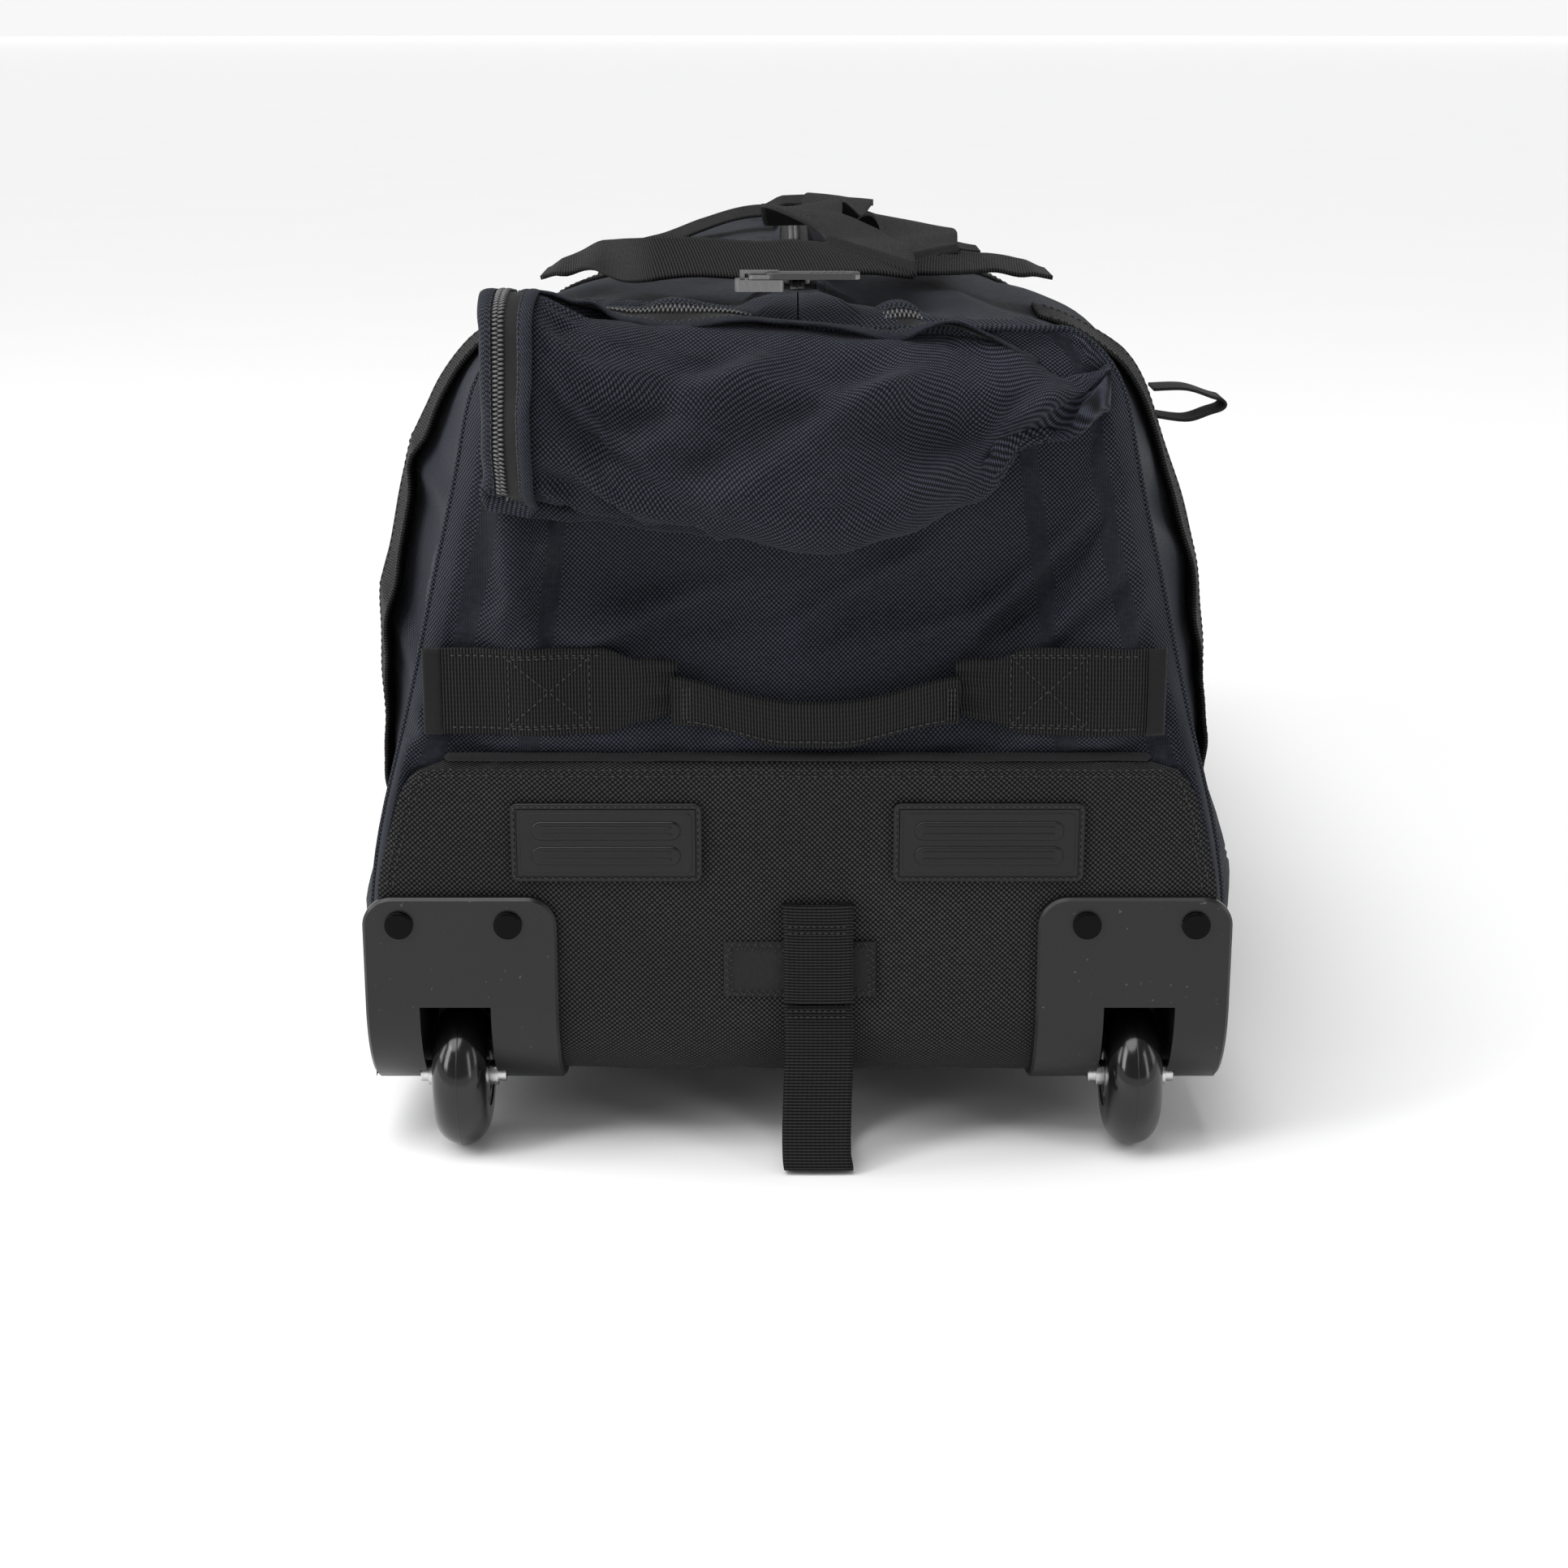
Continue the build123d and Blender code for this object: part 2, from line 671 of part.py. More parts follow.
def pocket_end_tab():
    """Small fabric tab with an eyelet where the pocket zip starts."""
    y0 = fabric_front - pocket_bulge
    low = pocket_run_bottom - 12
    flat = block(pocket_run_x - 7, pocket_run_x + 7, y0 - 1.6, y0, low, pocket_run_bottom)
    return flat - rod_y(y0 - 2, y0 + 1, pocket_run_x, low + 5, 2.0)


parts["pocket_zip_tab"] = pocket_end_tab()
pocket_tape_z = pocket_top + pocket_tape_t
across_x = Pos(pocket_slider_x, pocket_coil_y, pocket_tape_z) * Rot(0, 0, 90)
parts["pocket_slider"] = across_x * slider(slider_length)
pocket_pivot_x = pocket_slider_x - slider_length / 2 + pull_inset
pull_place = Pos(pocket_pivot_x, pocket_coil_y, pocket_tape_z + slider_crown + pull_play)
pocket_tab = pull(pocket_pull_length + slider_length, pocket_pull_width)
parts["pocket_pull"] = pull_place * Rot(0, 0, 90) * pocket_tab


# ---------------------------------------------------------------- side loop
def side_loop():
    """Folded webbing loop sewn to the right side, tip outward."""
    half = loop_root_height / 2
    tip = loop_tip_x - loop_tip_inset
    z = loop_centre_z
    outer = Polyline((loop_root_x + 4, z + half), (tip, z + loop_tip_half),
                     (tip, z - loop_tip_half), (loop_root_x + 2, z - half), close=True)
    face = make_face(outer)
    face = fillet(face.vertices().group_by(Axis.X)[-1], loop_tip_round)
    ring = face - offset(face, amount=-loop_t, kind=Kind.INTERSECTION)
    band = extrude(Plane.XZ * ring, amount=loop_width / 2, both=True)
    return Pos(0, loop_start + loop_width / 2, 0) * band


parts["side_loop"] = side_loop()


# ------------------------------------------------- tow handle and end feet
def tow_handle():
    """Webbing legs and moulded grip that hang against the far end."""
    y0 = shell_back + tow_gap
    solid = rod_x(-tow_span / 2, tow_span / 2, tow_grip_y, tow_hinge_z - tow_drop, tow_grip_d / 2)
    solid = chamfer(solid.edges().filter_by(GeomType.CIRCLE), 2.0)
    for side in (-1, 1):
        x = side * (tow_span / 2 - tow_web_width / 2 - 4)
        leg = block(x - tow_web_width / 2, x + tow_web_width / 2, y0, y0 + webbing_t,
                    tow_hinge_z - tow_drop, tow_hinge_z - 1)
        solid += leg
    return solid


def tow_anchors():
    """Webbing tabs sewn to the far end above the tow handle."""
    made = []
    for side in (-1, 1):
        x = side * (tow_span / 2 - tow_web_width / 2 - 4)
        made.append(block(x - tow_web_width / 2, x + tow_web_width / 2, shell_back, shell_back + webbing_t,
                          tow_hinge_z + 0.5, tow_hinge_z + tow_anchor_height))
    return Compound(children=[solid.solid() for solid in made])


parts["tow_handle"] = tow_handle()
parts["tow_anchors"] = tow_anchors()
foot_y1 = fabric_back - foot_setback
foot_y0 = foot_y1 - foot_depth


def end_foot():
    """Moulded foot that holds the far end as high as the wheels do."""
    flange = Pos(0, 0, base_clearance - foot_flange_t / 2) * extrude(
        RectangleRounded(foot_width, foot_depth, 8), amount=foot_flange_t / 2, both=True)
    stem = extrude(RectangleRounded(foot_width - 30, foot_depth - 14, 8), amount=base_clearance - 1)
    stem = chamfer(stem.edges().group_by(Axis.Z)[0], 2.0)
    foot = Pos(foot_centre_x, (foot_y0 + foot_y1) / 2, 0) * (flange + stem)
    return foot - foot_bars()


def foot_rivet_places():
    """Places of the two rivets of the right foot."""
    y = (foot_y0 + foot_y1) / 2
    return [(foot_centre_x + side * (foot_width / 2 - foot_rivet_inset), y) for side in (-1, 1)]


def foot_bars():
    """Rivet shanks of the right foot as cutting bars."""
    return Part() + [rod_z(0, board_top + 1, x, y, rivet_shank / 2) for x, y in foot_rivet_places()]


def foot_rivets():
    """The two rivets of the right foot, with heads below and above."""
    made = []
    head_z = base_clearance - foot_flange_t
    for x, y in foot_rivet_places():
        head = rod_z(head_z - rivet_head_t, head_z, x, y, rivet_tail / 2)
        shank = rod_z(head_z, board_top, x, y, rivet_shank / 2)
        tail = rod_z(board_top, board_top + rivet_tail_t, x, y, rivet_tail / 2)
        made.append(head + shank + tail)
    return Compound(children=[solid.solid() for solid in made])


foot_holes = both_sides(foot_bars())
parts["base_fabric"] -= foot_holes
parts["base_board"] -= foot_holes
parts["end_foot_right"] = end_foot()
parts["end_foot_left"] = flip_x(end_foot())
parts["foot_rivets_right"] = foot_rivets()
parts["foot_rivets_left"] = flip_x(foot_rivets())

# ------------------------------------------------------------------- export
os.makedirs("parts", exist_ok=True)
to_origin = Pos(0, -origin_y, 0)
for name, solid in parts.items():
    export_step(to_origin * solid, "parts/" + name + ".step")
print("front of housings at y =", -origin_y)
print("carry hinge at z =", round(carry_z, 2))
print("main pull pivot at y =", main_pivot_y - pull_bar / 2 - origin_y, "z =", pull_z + pull_t / 2)
print("pocket pull pivot at x =", pocket_pivot_x + pull_bar / 2, "y =", pocket_coil_y - origin_y,
      "z =", pocket_tape_z + slider_crown + pull_play + pull_t / 2)
print("grab hinge at y =", grab_axis_y - origin_y, "z =", grab_axis_z)
print("strap end hinge at y =", flap_y - strap_t - 0.3 - origin_y, "z =", strap_fold + 0.5)
print("tow hinge at y =", shell_back + tow_gap - origin_y, "z =", tow_hinge_z)
print("side loop hinge at y =", loop_start + loop_width / 2 - origin_y)
print("feet at y =", (foot_y0 + foot_y1) / 2 - origin_y)
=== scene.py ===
# %% [markdown]
# # A rolling duffel bag
# The bag's boards, wheels, housings and zip sliders are already modelled to size. This lesson adds what
# a sewing room adds: cloth panels that swell and crease, webbing, seams, stitches and finishes.
# Every piece is placed from the measured frame, so it stays true if the bag's sizes change.

# %% Load the frame
import math

import bmesh
import bpy
from mathutils import Matrix, Vector, noise
from mathutils.bvhtree import BVHTree


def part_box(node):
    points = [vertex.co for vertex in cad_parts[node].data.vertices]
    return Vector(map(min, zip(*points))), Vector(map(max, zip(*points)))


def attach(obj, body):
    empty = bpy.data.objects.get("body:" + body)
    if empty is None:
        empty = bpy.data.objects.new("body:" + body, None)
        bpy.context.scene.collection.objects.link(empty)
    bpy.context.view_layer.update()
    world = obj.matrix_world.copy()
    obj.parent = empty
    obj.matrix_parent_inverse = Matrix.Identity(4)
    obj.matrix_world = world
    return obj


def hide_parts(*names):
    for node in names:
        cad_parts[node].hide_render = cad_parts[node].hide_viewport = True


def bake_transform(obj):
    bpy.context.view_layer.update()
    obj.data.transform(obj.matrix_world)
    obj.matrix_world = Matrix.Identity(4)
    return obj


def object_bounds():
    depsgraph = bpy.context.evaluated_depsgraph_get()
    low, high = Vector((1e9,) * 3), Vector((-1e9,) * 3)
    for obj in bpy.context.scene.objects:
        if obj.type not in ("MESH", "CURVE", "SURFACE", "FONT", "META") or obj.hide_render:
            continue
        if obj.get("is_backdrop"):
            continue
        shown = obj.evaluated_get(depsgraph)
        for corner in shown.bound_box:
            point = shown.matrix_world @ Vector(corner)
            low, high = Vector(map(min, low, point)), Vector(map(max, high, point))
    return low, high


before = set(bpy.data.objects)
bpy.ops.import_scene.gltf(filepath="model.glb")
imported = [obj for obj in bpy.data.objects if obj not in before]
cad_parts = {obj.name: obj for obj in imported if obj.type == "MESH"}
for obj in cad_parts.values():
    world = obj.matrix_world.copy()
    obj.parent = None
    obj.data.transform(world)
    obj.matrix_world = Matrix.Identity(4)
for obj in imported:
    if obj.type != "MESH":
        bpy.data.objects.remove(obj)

cad_low, cad_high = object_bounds()
print("frame", len(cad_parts), "nodes,", [round(c, 3) for c in cad_high - cad_low])

# %% [markdown]
# ## Landmarks
# Everything on a bag is sewn to something else. A few landmarks read from the frame say where the cloth
# faces, the seams and the top are, and the other cells count from them.

# %% Landmarks
plate_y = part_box("wheel_housing_left")[0].y
base_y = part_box("base_fabric")[0].y
face_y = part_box("end_panel_wheel")[0].y
back_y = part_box("end_panel_tow")[1].y
rear_base_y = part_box("base_fabric")[1].y
top_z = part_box("side_panel_left")[1].z
seam_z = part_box("side_strip_left")[1].z
under_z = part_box("base_fabric")[0].z
base_top_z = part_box("base_fabric")[1].z
mm = 0.001
print("faces", round(face_y, 4), round(back_y, 4), "top", round(top_z, 4))

# %% [markdown]
# ## Camera, light and floor
# The camera stands a little over a metre from the wheels and looks down by 16 degrees. A very soft overhead
# light brightens the floor evenly and leaves the upright cloth darker, and large soft boxes at the sides
# shape its folds. Area lights were chosen there because their rectangles also show as long highlights on
# the glossy wheels. A white ring far away hides the edge of the floor from every side, though its own top
# edge can show when the camera is low.

# %% Camera
camera_data = bpy.data.cameras.new("camera")
camera = bpy.data.objects.new("camera", camera_data)
bpy.context.collection.objects.link(camera)
camera_data.lens = 61.5
camera_data.sensor_width = 36
camera.location = (-5.8 * mm, plate_y - 1094 * mm, 487 * mm)
camera.rotation_euler = (math.radians(74), 0, 0)
bpy.context.scene.camera = camera


# %% Lights and world
def soft_light(name, place, aim, size, power):
    """A large soft box that looks at a point."""
    data = bpy.data.lights.new(name, "AREA")
    data.shape = "RECTANGLE"
    data.size, data.size_y = size
    data.energy = power
    lamp = bpy.data.objects.new(name, data)
    lamp.location = place
    lamp.rotation_euler = (Vector(aim) - Vector(place)).to_track_quat("-Z", "Y").to_euler()
    bpy.context.collection.objects.link(lamp)
    return lamp


middle = (cad_low + cad_high) / 2
soft_light("light_front_left", (-1.5, plate_y - 0.9, 1.2), (0, plate_y, 0.2), (0.5, 1.3), 14)
soft_light("light_front_right", (1.4, plate_y - 1.1, 0.9), (0, plate_y, 0.15), (0.3, 1.3), 5)
soft_light("light_left", (-2.3, plate_y + 0.2, 1.2), (0, plate_y + 0.3, 0.2), (1.2, 1.2), 24)
soft_light("light_right", (2.3, plate_y + 0.1, 1.1), (0, plate_y + 0.3, 0.2), (1.0, 1.2), 10)
overhead = bpy.data.lights.new("light_overhead", "SUN")
overhead.energy = 2.25
overhead.angle = math.radians(48)
overhead_lamp = bpy.data.objects.new("light_overhead", overhead)
overhead_lamp.rotation_euler = (math.radians(9), math.radians(-14), 0)
bpy.context.collection.objects.link(overhead_lamp)

world = bpy.data.worlds.new("studio")
bpy.context.scene.world = world
world.use_nodes = True
world.node_tree.nodes["Background"].inputs["Color"].default_value = (1, 1, 1, 1)
world.node_tree.nodes["Background"].inputs["Strength"].default_value = 0.30
bpy.context.scene.view_settings.view_transform = "Standard"
print("camera and lights ready")

# %% [markdown]
# ## Materials from nodes
# Cloth, webbing, moulded plastic and steel each get a small node network. A helper adds and links nodes in
# one call, so that a finish reads as a short recipe. Cloth patterns follow the piece's own UV map, which is
# measured in metres, so the threads have their true size everywhere. Plastic and steel use Object
# coordinates.


# %% Node helpers
class Recipe:
    """A material under construction: nodes are added by name and linked from other nodes' outputs."""

    def __init__(self, name):
        self.material = bpy.data.materials.new(name)
        self.material.use_nodes = True
        self.tree = self.material.node_tree
        self.shader = self.tree.nodes["Principled BSDF"]

    def node(self, kind, settings=None, **inputs):
        """Add a node; inputs are numbers, colours or other nodes' output sockets."""
        made = self.tree.nodes.new(kind)
        for key, value in (settings or {}).items():
            setattr(made, key, value)
        for key, value in inputs.items():
            socket = made.inputs[int(key[1:])] if key[1:].isdigit() else made.inputs[key]
            self.put(socket, value)
        return made

    def put(self, socket, value):
        """Set a socket to a value, or link it."""
        if isinstance(value, bpy.types.NodeSocket):
            self.tree.links.new(value, socket)
        else:
            socket.default_value = value

    def math(self, operation, a, b=0.0, c=0.0):
        """One step of arithmetic."""
        return self.node("ShaderNodeMath", {"operation": operation}, _0=a, _1=b, _2=c).outputs[0]

    def uv(self):
        """The piece's own UV map, in metres."""
        parts = self.node("ShaderNodeSeparateXYZ", _0=self.node("ShaderNodeUVMap").outputs[0])
        return parts.outputs[0], parts.outputs[1]

    def spot(self):
        """Object coordinates."""
        return self.node("ShaderNodeTexCoord").outputs["Object"]

    def noise(self, where, scale, detail=3.0, rough=0.5):
        """Noise from 0 to 1."""
        made = self.node("ShaderNodeTexNoise", Vector=where, Scale=scale, Detail=detail, Roughness=rough)
        return made.outputs[0]

    def scale(self, where, factors):
        """Coordinates times three factors."""
        settings = {"operation": "MULTIPLY"}
        return self.node("ShaderNodeVectorMath", settings, _0=where, _1=factors).outputs[0]

    def blend(self, share, low, high):
        """Colour between two colours."""
        made = self.node("ShaderNodeMix", {"data_type": "RGBA"})
        self.put(made.inputs[0], share)
        self.put(made.inputs[6], low)
        self.put(made.inputs[7], high)
        return made.outputs[2]

    def spread(self, value, low, high, to_low=0.0, to_high=1.0):
        """Map a range to another, clamped and smooth."""
        settings = {"interpolation_type": "SMOOTHSTEP"}
        return self.node("ShaderNodeMapRange", settings, _0=value, _1=low, _2=high, _3=to_low,
                         _4=to_high).outputs[0]

    def finish(self, base, rough, bump=None, depth=0.0001, strength=1.0, **fixed):
        """Link colour, roughness and bump; other sockets keep constant values."""
        self.put(self.shader.inputs["Base Color"], base)
        self.put(self.shader.inputs["Roughness"], rough)
        if bump is not None:
            made = self.node("ShaderNodeBump", Strength=strength, Distance=depth, Height=bump)
            self.put(self.shader.inputs["Normal"], made.outputs[0])
        for key, value in fixed.items():
            self.shader.inputs[key.replace("_", " ")].default_value = value
        return self.material


def grey(value):
    """Neutral colour."""
    return (value, value, value, 1.0)


# %% [markdown]
# ## Woven cloth
# The bag is coarse polyester in a plain weave. Threads that pass over catch the light and those that pass
# under stay dark, which reads as staggered bright dots about a millimetre apart. Two crossed sine waves
# multiplied together give exactly that chequer of hills and hollows, which is painted into the colour as a
# painted highlight on the crowns and painted shade between the threads. A slower noise varies the dye and
# the sheen, and the hills drive the bump.


# %% Cloth materials
def woven(name, low, high, pitch, depth, sheen):
    """Plain-weave cloth: low is the painted shade between the threads, high the painted highlight on their
    crowns.
    """
    recipe = Recipe(name)
    u, v = recipe.uv()
    turn = 2 * math.pi / pitch
    warp = recipe.math("SINE", recipe.math("MULTIPLY", u, turn))
    weft = recipe.math("SINE", recipe.math("MULTIPLY", v, turn))
    crown = recipe.math("MULTIPLY", warp, weft)
    where = recipe.spot()
    slub = recipe.noise(recipe.scale(where, (260.0, 260.0, 900.0)), 1.0, 2.0)
    cloud = recipe.noise(where, 9.0, 4.0, 0.6)
    height = recipe.math("MULTIPLY_ADD", slub, 0.7, crown)
    # The crown chequer, with the slub's random tone, sets the colour: painted highlight on the crowns,
    # painted shade between the threads.
    share = recipe.spread(height, 0.0, 1.3)
    weave_tone_and_painted_light = recipe.blend(share, low, high)
    dusty = recipe.spread(cloud, 0.35, 0.75, 0.9, 1.12)
    colour = recipe.node("ShaderNodeVectorMath", {"operation": "SCALE"}, _0=weave_tone_and_painted_light, Scale=dusty).outputs[0]
    rough = recipe.spread(slub, 0.2, 0.9, 0.58, 0.78)
    return recipe.finish(colour, rough, height, depth, 0.55, Sheen_Weight=sheen, Sheen_Roughness=0.45,
                         Specular_IOR_Level=0.1)


# Each colour pair is the painted shade between the threads and the painted highlight on their crowns.
navy_cloth = woven("navy_cloth", (0.0022, 0.0025, 0.0038, 1), (0.046, 0.051, 0.072, 1),
                   2.0 * mm, 0.26 * mm, 0.04)
base_cloth = woven("base_cloth", (0.0018, 0.0018, 0.0019, 1), (0.050, 0.050, 0.052, 1),
                   2.3 * mm, 0.3 * mm, 0.02)
tape_cloth = woven("tape_cloth", (0.004, 0.004, 0.0045, 1), (0.026, 0.026, 0.028, 1),
                   0.7 * mm, 0.08 * mm, 0.1)


# %% [markdown]
# ## Ribbed webbing
# Handle webbing is woven with heavy cross ribs about 1.3 mm apart. Each rib is a rounded bar across the
# strap that is broken into short floats by the edge-to-edge threads. A sine along the strap makes the ribs
# and a second one across, shifted on every other rib, makes the floats.


# %% Webbing material
def ribbed(name, low, high, pitch, depth):
    """Cross-ribbed webbing; v runs along the strap; the colour paints highlight on the rib crowns and shade
    between them.
    """
    recipe = Recipe(name)
    u, v = recipe.uv()
    rib = recipe.math("COSINE", recipe.math("MULTIPLY", v, 2 * math.pi / pitch))
    shift = recipe.math("SINE", recipe.math("MULTIPLY", v, math.pi / pitch))
    across = recipe.math("MULTIPLY_ADD", u, 2 * math.pi / (1.5 * pitch), shift)
    dash = recipe.math("SINE", across)
    height = recipe.math("MULTIPLY_ADD", dash, 0.22, rib)
    fluff = recipe.noise(recipe.spot(), 700.0, 2.0)
    # The rib heights are painted into the colour: painted highlight on the crowns, painted shade in the
    # hollows; the fluff adds random tone.
    share = recipe.spread(recipe.math("MULTIPLY_ADD", fluff, 0.8, height), -0.1, 1.7)
    colour = recipe.blend(share, low, high)
    return recipe.finish(colour, recipe.spread(fluff, 0.2, 0.8, 0.5, 0.72), height, depth, 0.7,
                         Sheen_Weight=0.03, Sheen_Roughness=0.4, Specular_IOR_Level=0.1)


webbing = ribbed("webbing", grey(0.0012), grey(0.030), 1.35 * mm, 0.3 * mm)
fine_webbing = ribbed("fine_webbing", grey(0.004), grey(0.044), 0.9 * mm, 0.18 * mm)

# %% [markdown]
# ## Plastic, rubber, thread and steel
# Moulded housings are spark-eroded in the tool, which leaves a fine matt grain. They pick up dust specks and
# a polish on their rims; the finish here adds the specks only. The wheels are cast polyurethane, smooth and
# glossy. Steel shows turning marks.


# %% Hard materials
def moulded(name, base, rough, grain, depth, specks=0.0, shine=0.5):
    """Moulded plastic or rubber with a fine grain and a few pale specks."""
    recipe = Recipe(name)
    where = recipe.spot()
    fine = recipe.noise(where, grain, 3.0, 0.7)
    cloud = recipe.noise(where, 14.0, 4.0, 0.6)
    dust = recipe.spread(recipe.noise(where, 420.0, 1.0), 0.76, 0.80, 0.0, specks)
    shade = recipe.spread(cloud, 0.3, 0.75, base * 0.86, base * 1.18)
    tone = recipe.math("ADD", shade, dust)
    colour = recipe.node("ShaderNodeCombineColor", _0=tone, _1=tone, _2=tone).outputs[0]
    gloss = recipe.spread(recipe.math("MULTIPLY_ADD", fine, 0.5, cloud), 0.5, 1.0, rough - 0.07, rough + 0.08)
    return recipe.finish(colour, gloss, fine, depth, 0.6, Specular_IOR_Level=shine)


housing_plastic = moulded("housing_plastic", 0.0065, 0.34, 1500.0, 0.07 * mm, 0.05, 0.36)
rivet_plastic = moulded("rivet_plastic", 0.0012, 0.16, 900.0, 0.02 * mm, 0.0, 0.08)
pad_rubber = moulded("pad_rubber", 0.0045, 0.36, 1200.0, 0.04 * mm, 0.01, 0.3)
pull_rubber = moulded("pull_rubber", 0.032, 0.42, 1400.0, 0.03 * mm)
tyre_rubber = moulded("tyre_rubber", 0.004, 0.12, 260.0, 0.008 * mm)
hub_plastic = moulded("hub_plastic", 0.012, 0.30, 900.0, 0.02 * mm)
thread = moulded("thread", 0.010, 0.42, 2600.0, 0.05 * mm)
coil_plastic = moulded("coil_plastic", 0.085, 0.30, 1800.0, 0.02 * mm)
patch_fuzz = moulded("patch_fuzz", 0.0035, 0.85, 2200.0, 0.6 * mm)
board_plastic = moulded("board_plastic", 0.08, 0.5, 600.0, 0.05 * mm)


def turned(name, base, rough):
    """Bright turned steel."""
    recipe = Recipe(name)
    marks = recipe.noise(recipe.scale(recipe.spot(), (2600.0, 240.0, 240.0)), 1.0, 2.0)
    tone = recipe.spread(marks, 0.25, 0.8, base * 0.82, base * 1.1)
    colour = recipe.node("ShaderNodeCombineColor", _0=tone, _1=tone, _2=tone).outputs[0]
    return recipe.finish(colour, recipe.spread(marks, 0.2, 0.8, rough - 0.06, rough + 0.08), marks, 0.02 * mm,
                         0.3, Metallic=1.0)


steel = turned("steel", 0.62, 0.26)
slider_metal = turned("slider_metal", 0.20, 0.34)

# %% [markdown]
# ## Dressing the hard parts
# The wheels, housings, rivets, axles, sliders and feet keep their measured shapes. They only need their
# finishes, so each node's material slots are filled here.


# %% Finish the measured parts
def dress(node, material):
    """Give a measured part its finish."""
    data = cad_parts[node].data
    data.materials.clear()
    data.materials.append(material)


for side in ("left", "right"):
    dress("wheel_housing_" + side, housing_plastic)
    dress("housing_rivets_" + side, rivet_plastic)
    dress("wheel_tyre_" + side, tyre_rubber)
    dress("wheel_hub_" + side, hub_plastic)
    dress("end_foot_" + side, housing_plastic)
    dress("foot_rivets_" + side, rivet_plastic)
    for part in ("wheel_axle_", "side_spacers_", "wheel_bearings_", "bearing_sleeve_", "backing_plate_"):
        dress(part + side, steel)
for node, material in (("base_board", board_plastic), ("end_stiffener", board_plastic),
                       ("main_slider", slider_metal), ("pocket_slider", slider_metal),
                       ("main_pull", pull_rubber)):
    dress(node, material)
print("measured parts dressed")

# %% Floor
floor_mesh = bpy.data.meshes.new("floor")
floor_bm = bmesh.new()
bmesh.ops.create_grid(floor_bm, x_segments=1, y_segments=1, size=80)
floor_bm.to_mesh(floor_mesh)
floor_bm.free()
floor = bpy.data.objects.new("floor", floor_mesh)
bpy.context.collection.objects.link(floor)
floor_recipe = Recipe("floor_paper")
floor_tone = floor_recipe.noise(floor_recipe.spot(), 3.0, 2.0)
floor_shade = floor_recipe.blend(floor_tone, grey(0.93), grey(0.95))
floor_mesh.materials.append(floor_recipe.finish(floor_shade, 0.7))
floor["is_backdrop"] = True
ring_mesh = bpy.data.meshes.new("backdrop")
ring_bm = bmesh.new()
bmesh.ops.create_cone(ring_bm, cap_ends=False, segments=96, radius1=70, radius2=70, depth=26)
ring_bm.to_mesh(ring_mesh)
ring_bm.free()
backdrop = bpy.data.objects.new("backdrop", ring_mesh)
bpy.context.collection.objects.link(backdrop)
backdrop_recipe = Recipe("backdrop_paper")
backdrop_recipe.shader.inputs["Emission Color"].default_value = (1, 1, 1, 1)
backdrop_recipe.shader.inputs["Emission Strength"].default_value = 0.93
ring_mesh.materials.append(backdrop_recipe.finish(grey(0.01), 1.0, Specular_IOR_Level=0.0))
backdrop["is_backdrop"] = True

# %% [markdown]
# ## Sheets of cloth over a tailor's dummy
# A sewn panel starts flat, so each one starts as a grid. A place function then says where every point of
# the grid goes. The measured shell acts as the tailor's dummy: rays are cast at it and the cloth lands where
# they hit. Arc lengths along the finished grid become its UV map, so the weave keeps its size.


# %% Cloth helpers
def at(x, y, z):
    """A point from millimetres: right of the middle, behind the housings' front, above the floor."""
    return Vector((x * mm, plate_y + y * mm, z * mm))


def tree_of(*objects):
    """Rays can be cast at the finished shapes of these objects."""
    graph = bpy.context.evaluated_depsgraph_get()
    joined = bmesh.new()
    for piece in objects:
        shape = piece.evaluated_get(graph).to_mesh()
        joined.from_mesh(shape)
    tree = BVHTree.FromBMesh(joined)
    joined.free()
    return tree


def node_tree(*nodes):
    """The same for measured parts."""
    return tree_of(*[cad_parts[node] for node in nodes])


dummy = node_tree("side_panel_left", "side_panel_right", "side_strip_left", "side_strip_right",
                  "end_panel_wheel", "end_panel_tow", "base_board", "main_zip_tape")


def cast(tree, start, direction, fallback=None):
    """Where a ray lands, or the fallback."""
    hit = tree.ray_cast(start, Vector(direction).normalized())[0]
    return hit if hit is not None else fallback


def ease(value, low, high):
    """0 below low, 1 above high, smooth between."""
    share = min(max((value - low) / (high - low), 0.0), 1.0)
    return share * share * (3 - 2 * share)


def follow(value, stations):
    """A smooth value between (place, value) stations."""
    for (a, va), (b, vb) in zip(stations, stations[1:]):
        if value <= b:
            return va + (vb - va) * ease(value, a, b)
    return stations[-1][1]


def finish_piece(name, bm, material, body="bag", replaces=(), smooth=True):
    """Turn a bmesh into a piece that rides with a body; body None leaves it without one."""
    shape = bpy.data.meshes.new(name)
    bm.to_mesh(shape)
    bm.free()
    for face in shape.polygons:
        face.use_smooth = smooth
    piece = bpy.data.objects.new(name, shape)
    bpy.context.collection.objects.link(piece)
    shape.materials.append(material)
    if body:
        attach(piece, body)
    if replaces:
        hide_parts(*replaces)
    return piece


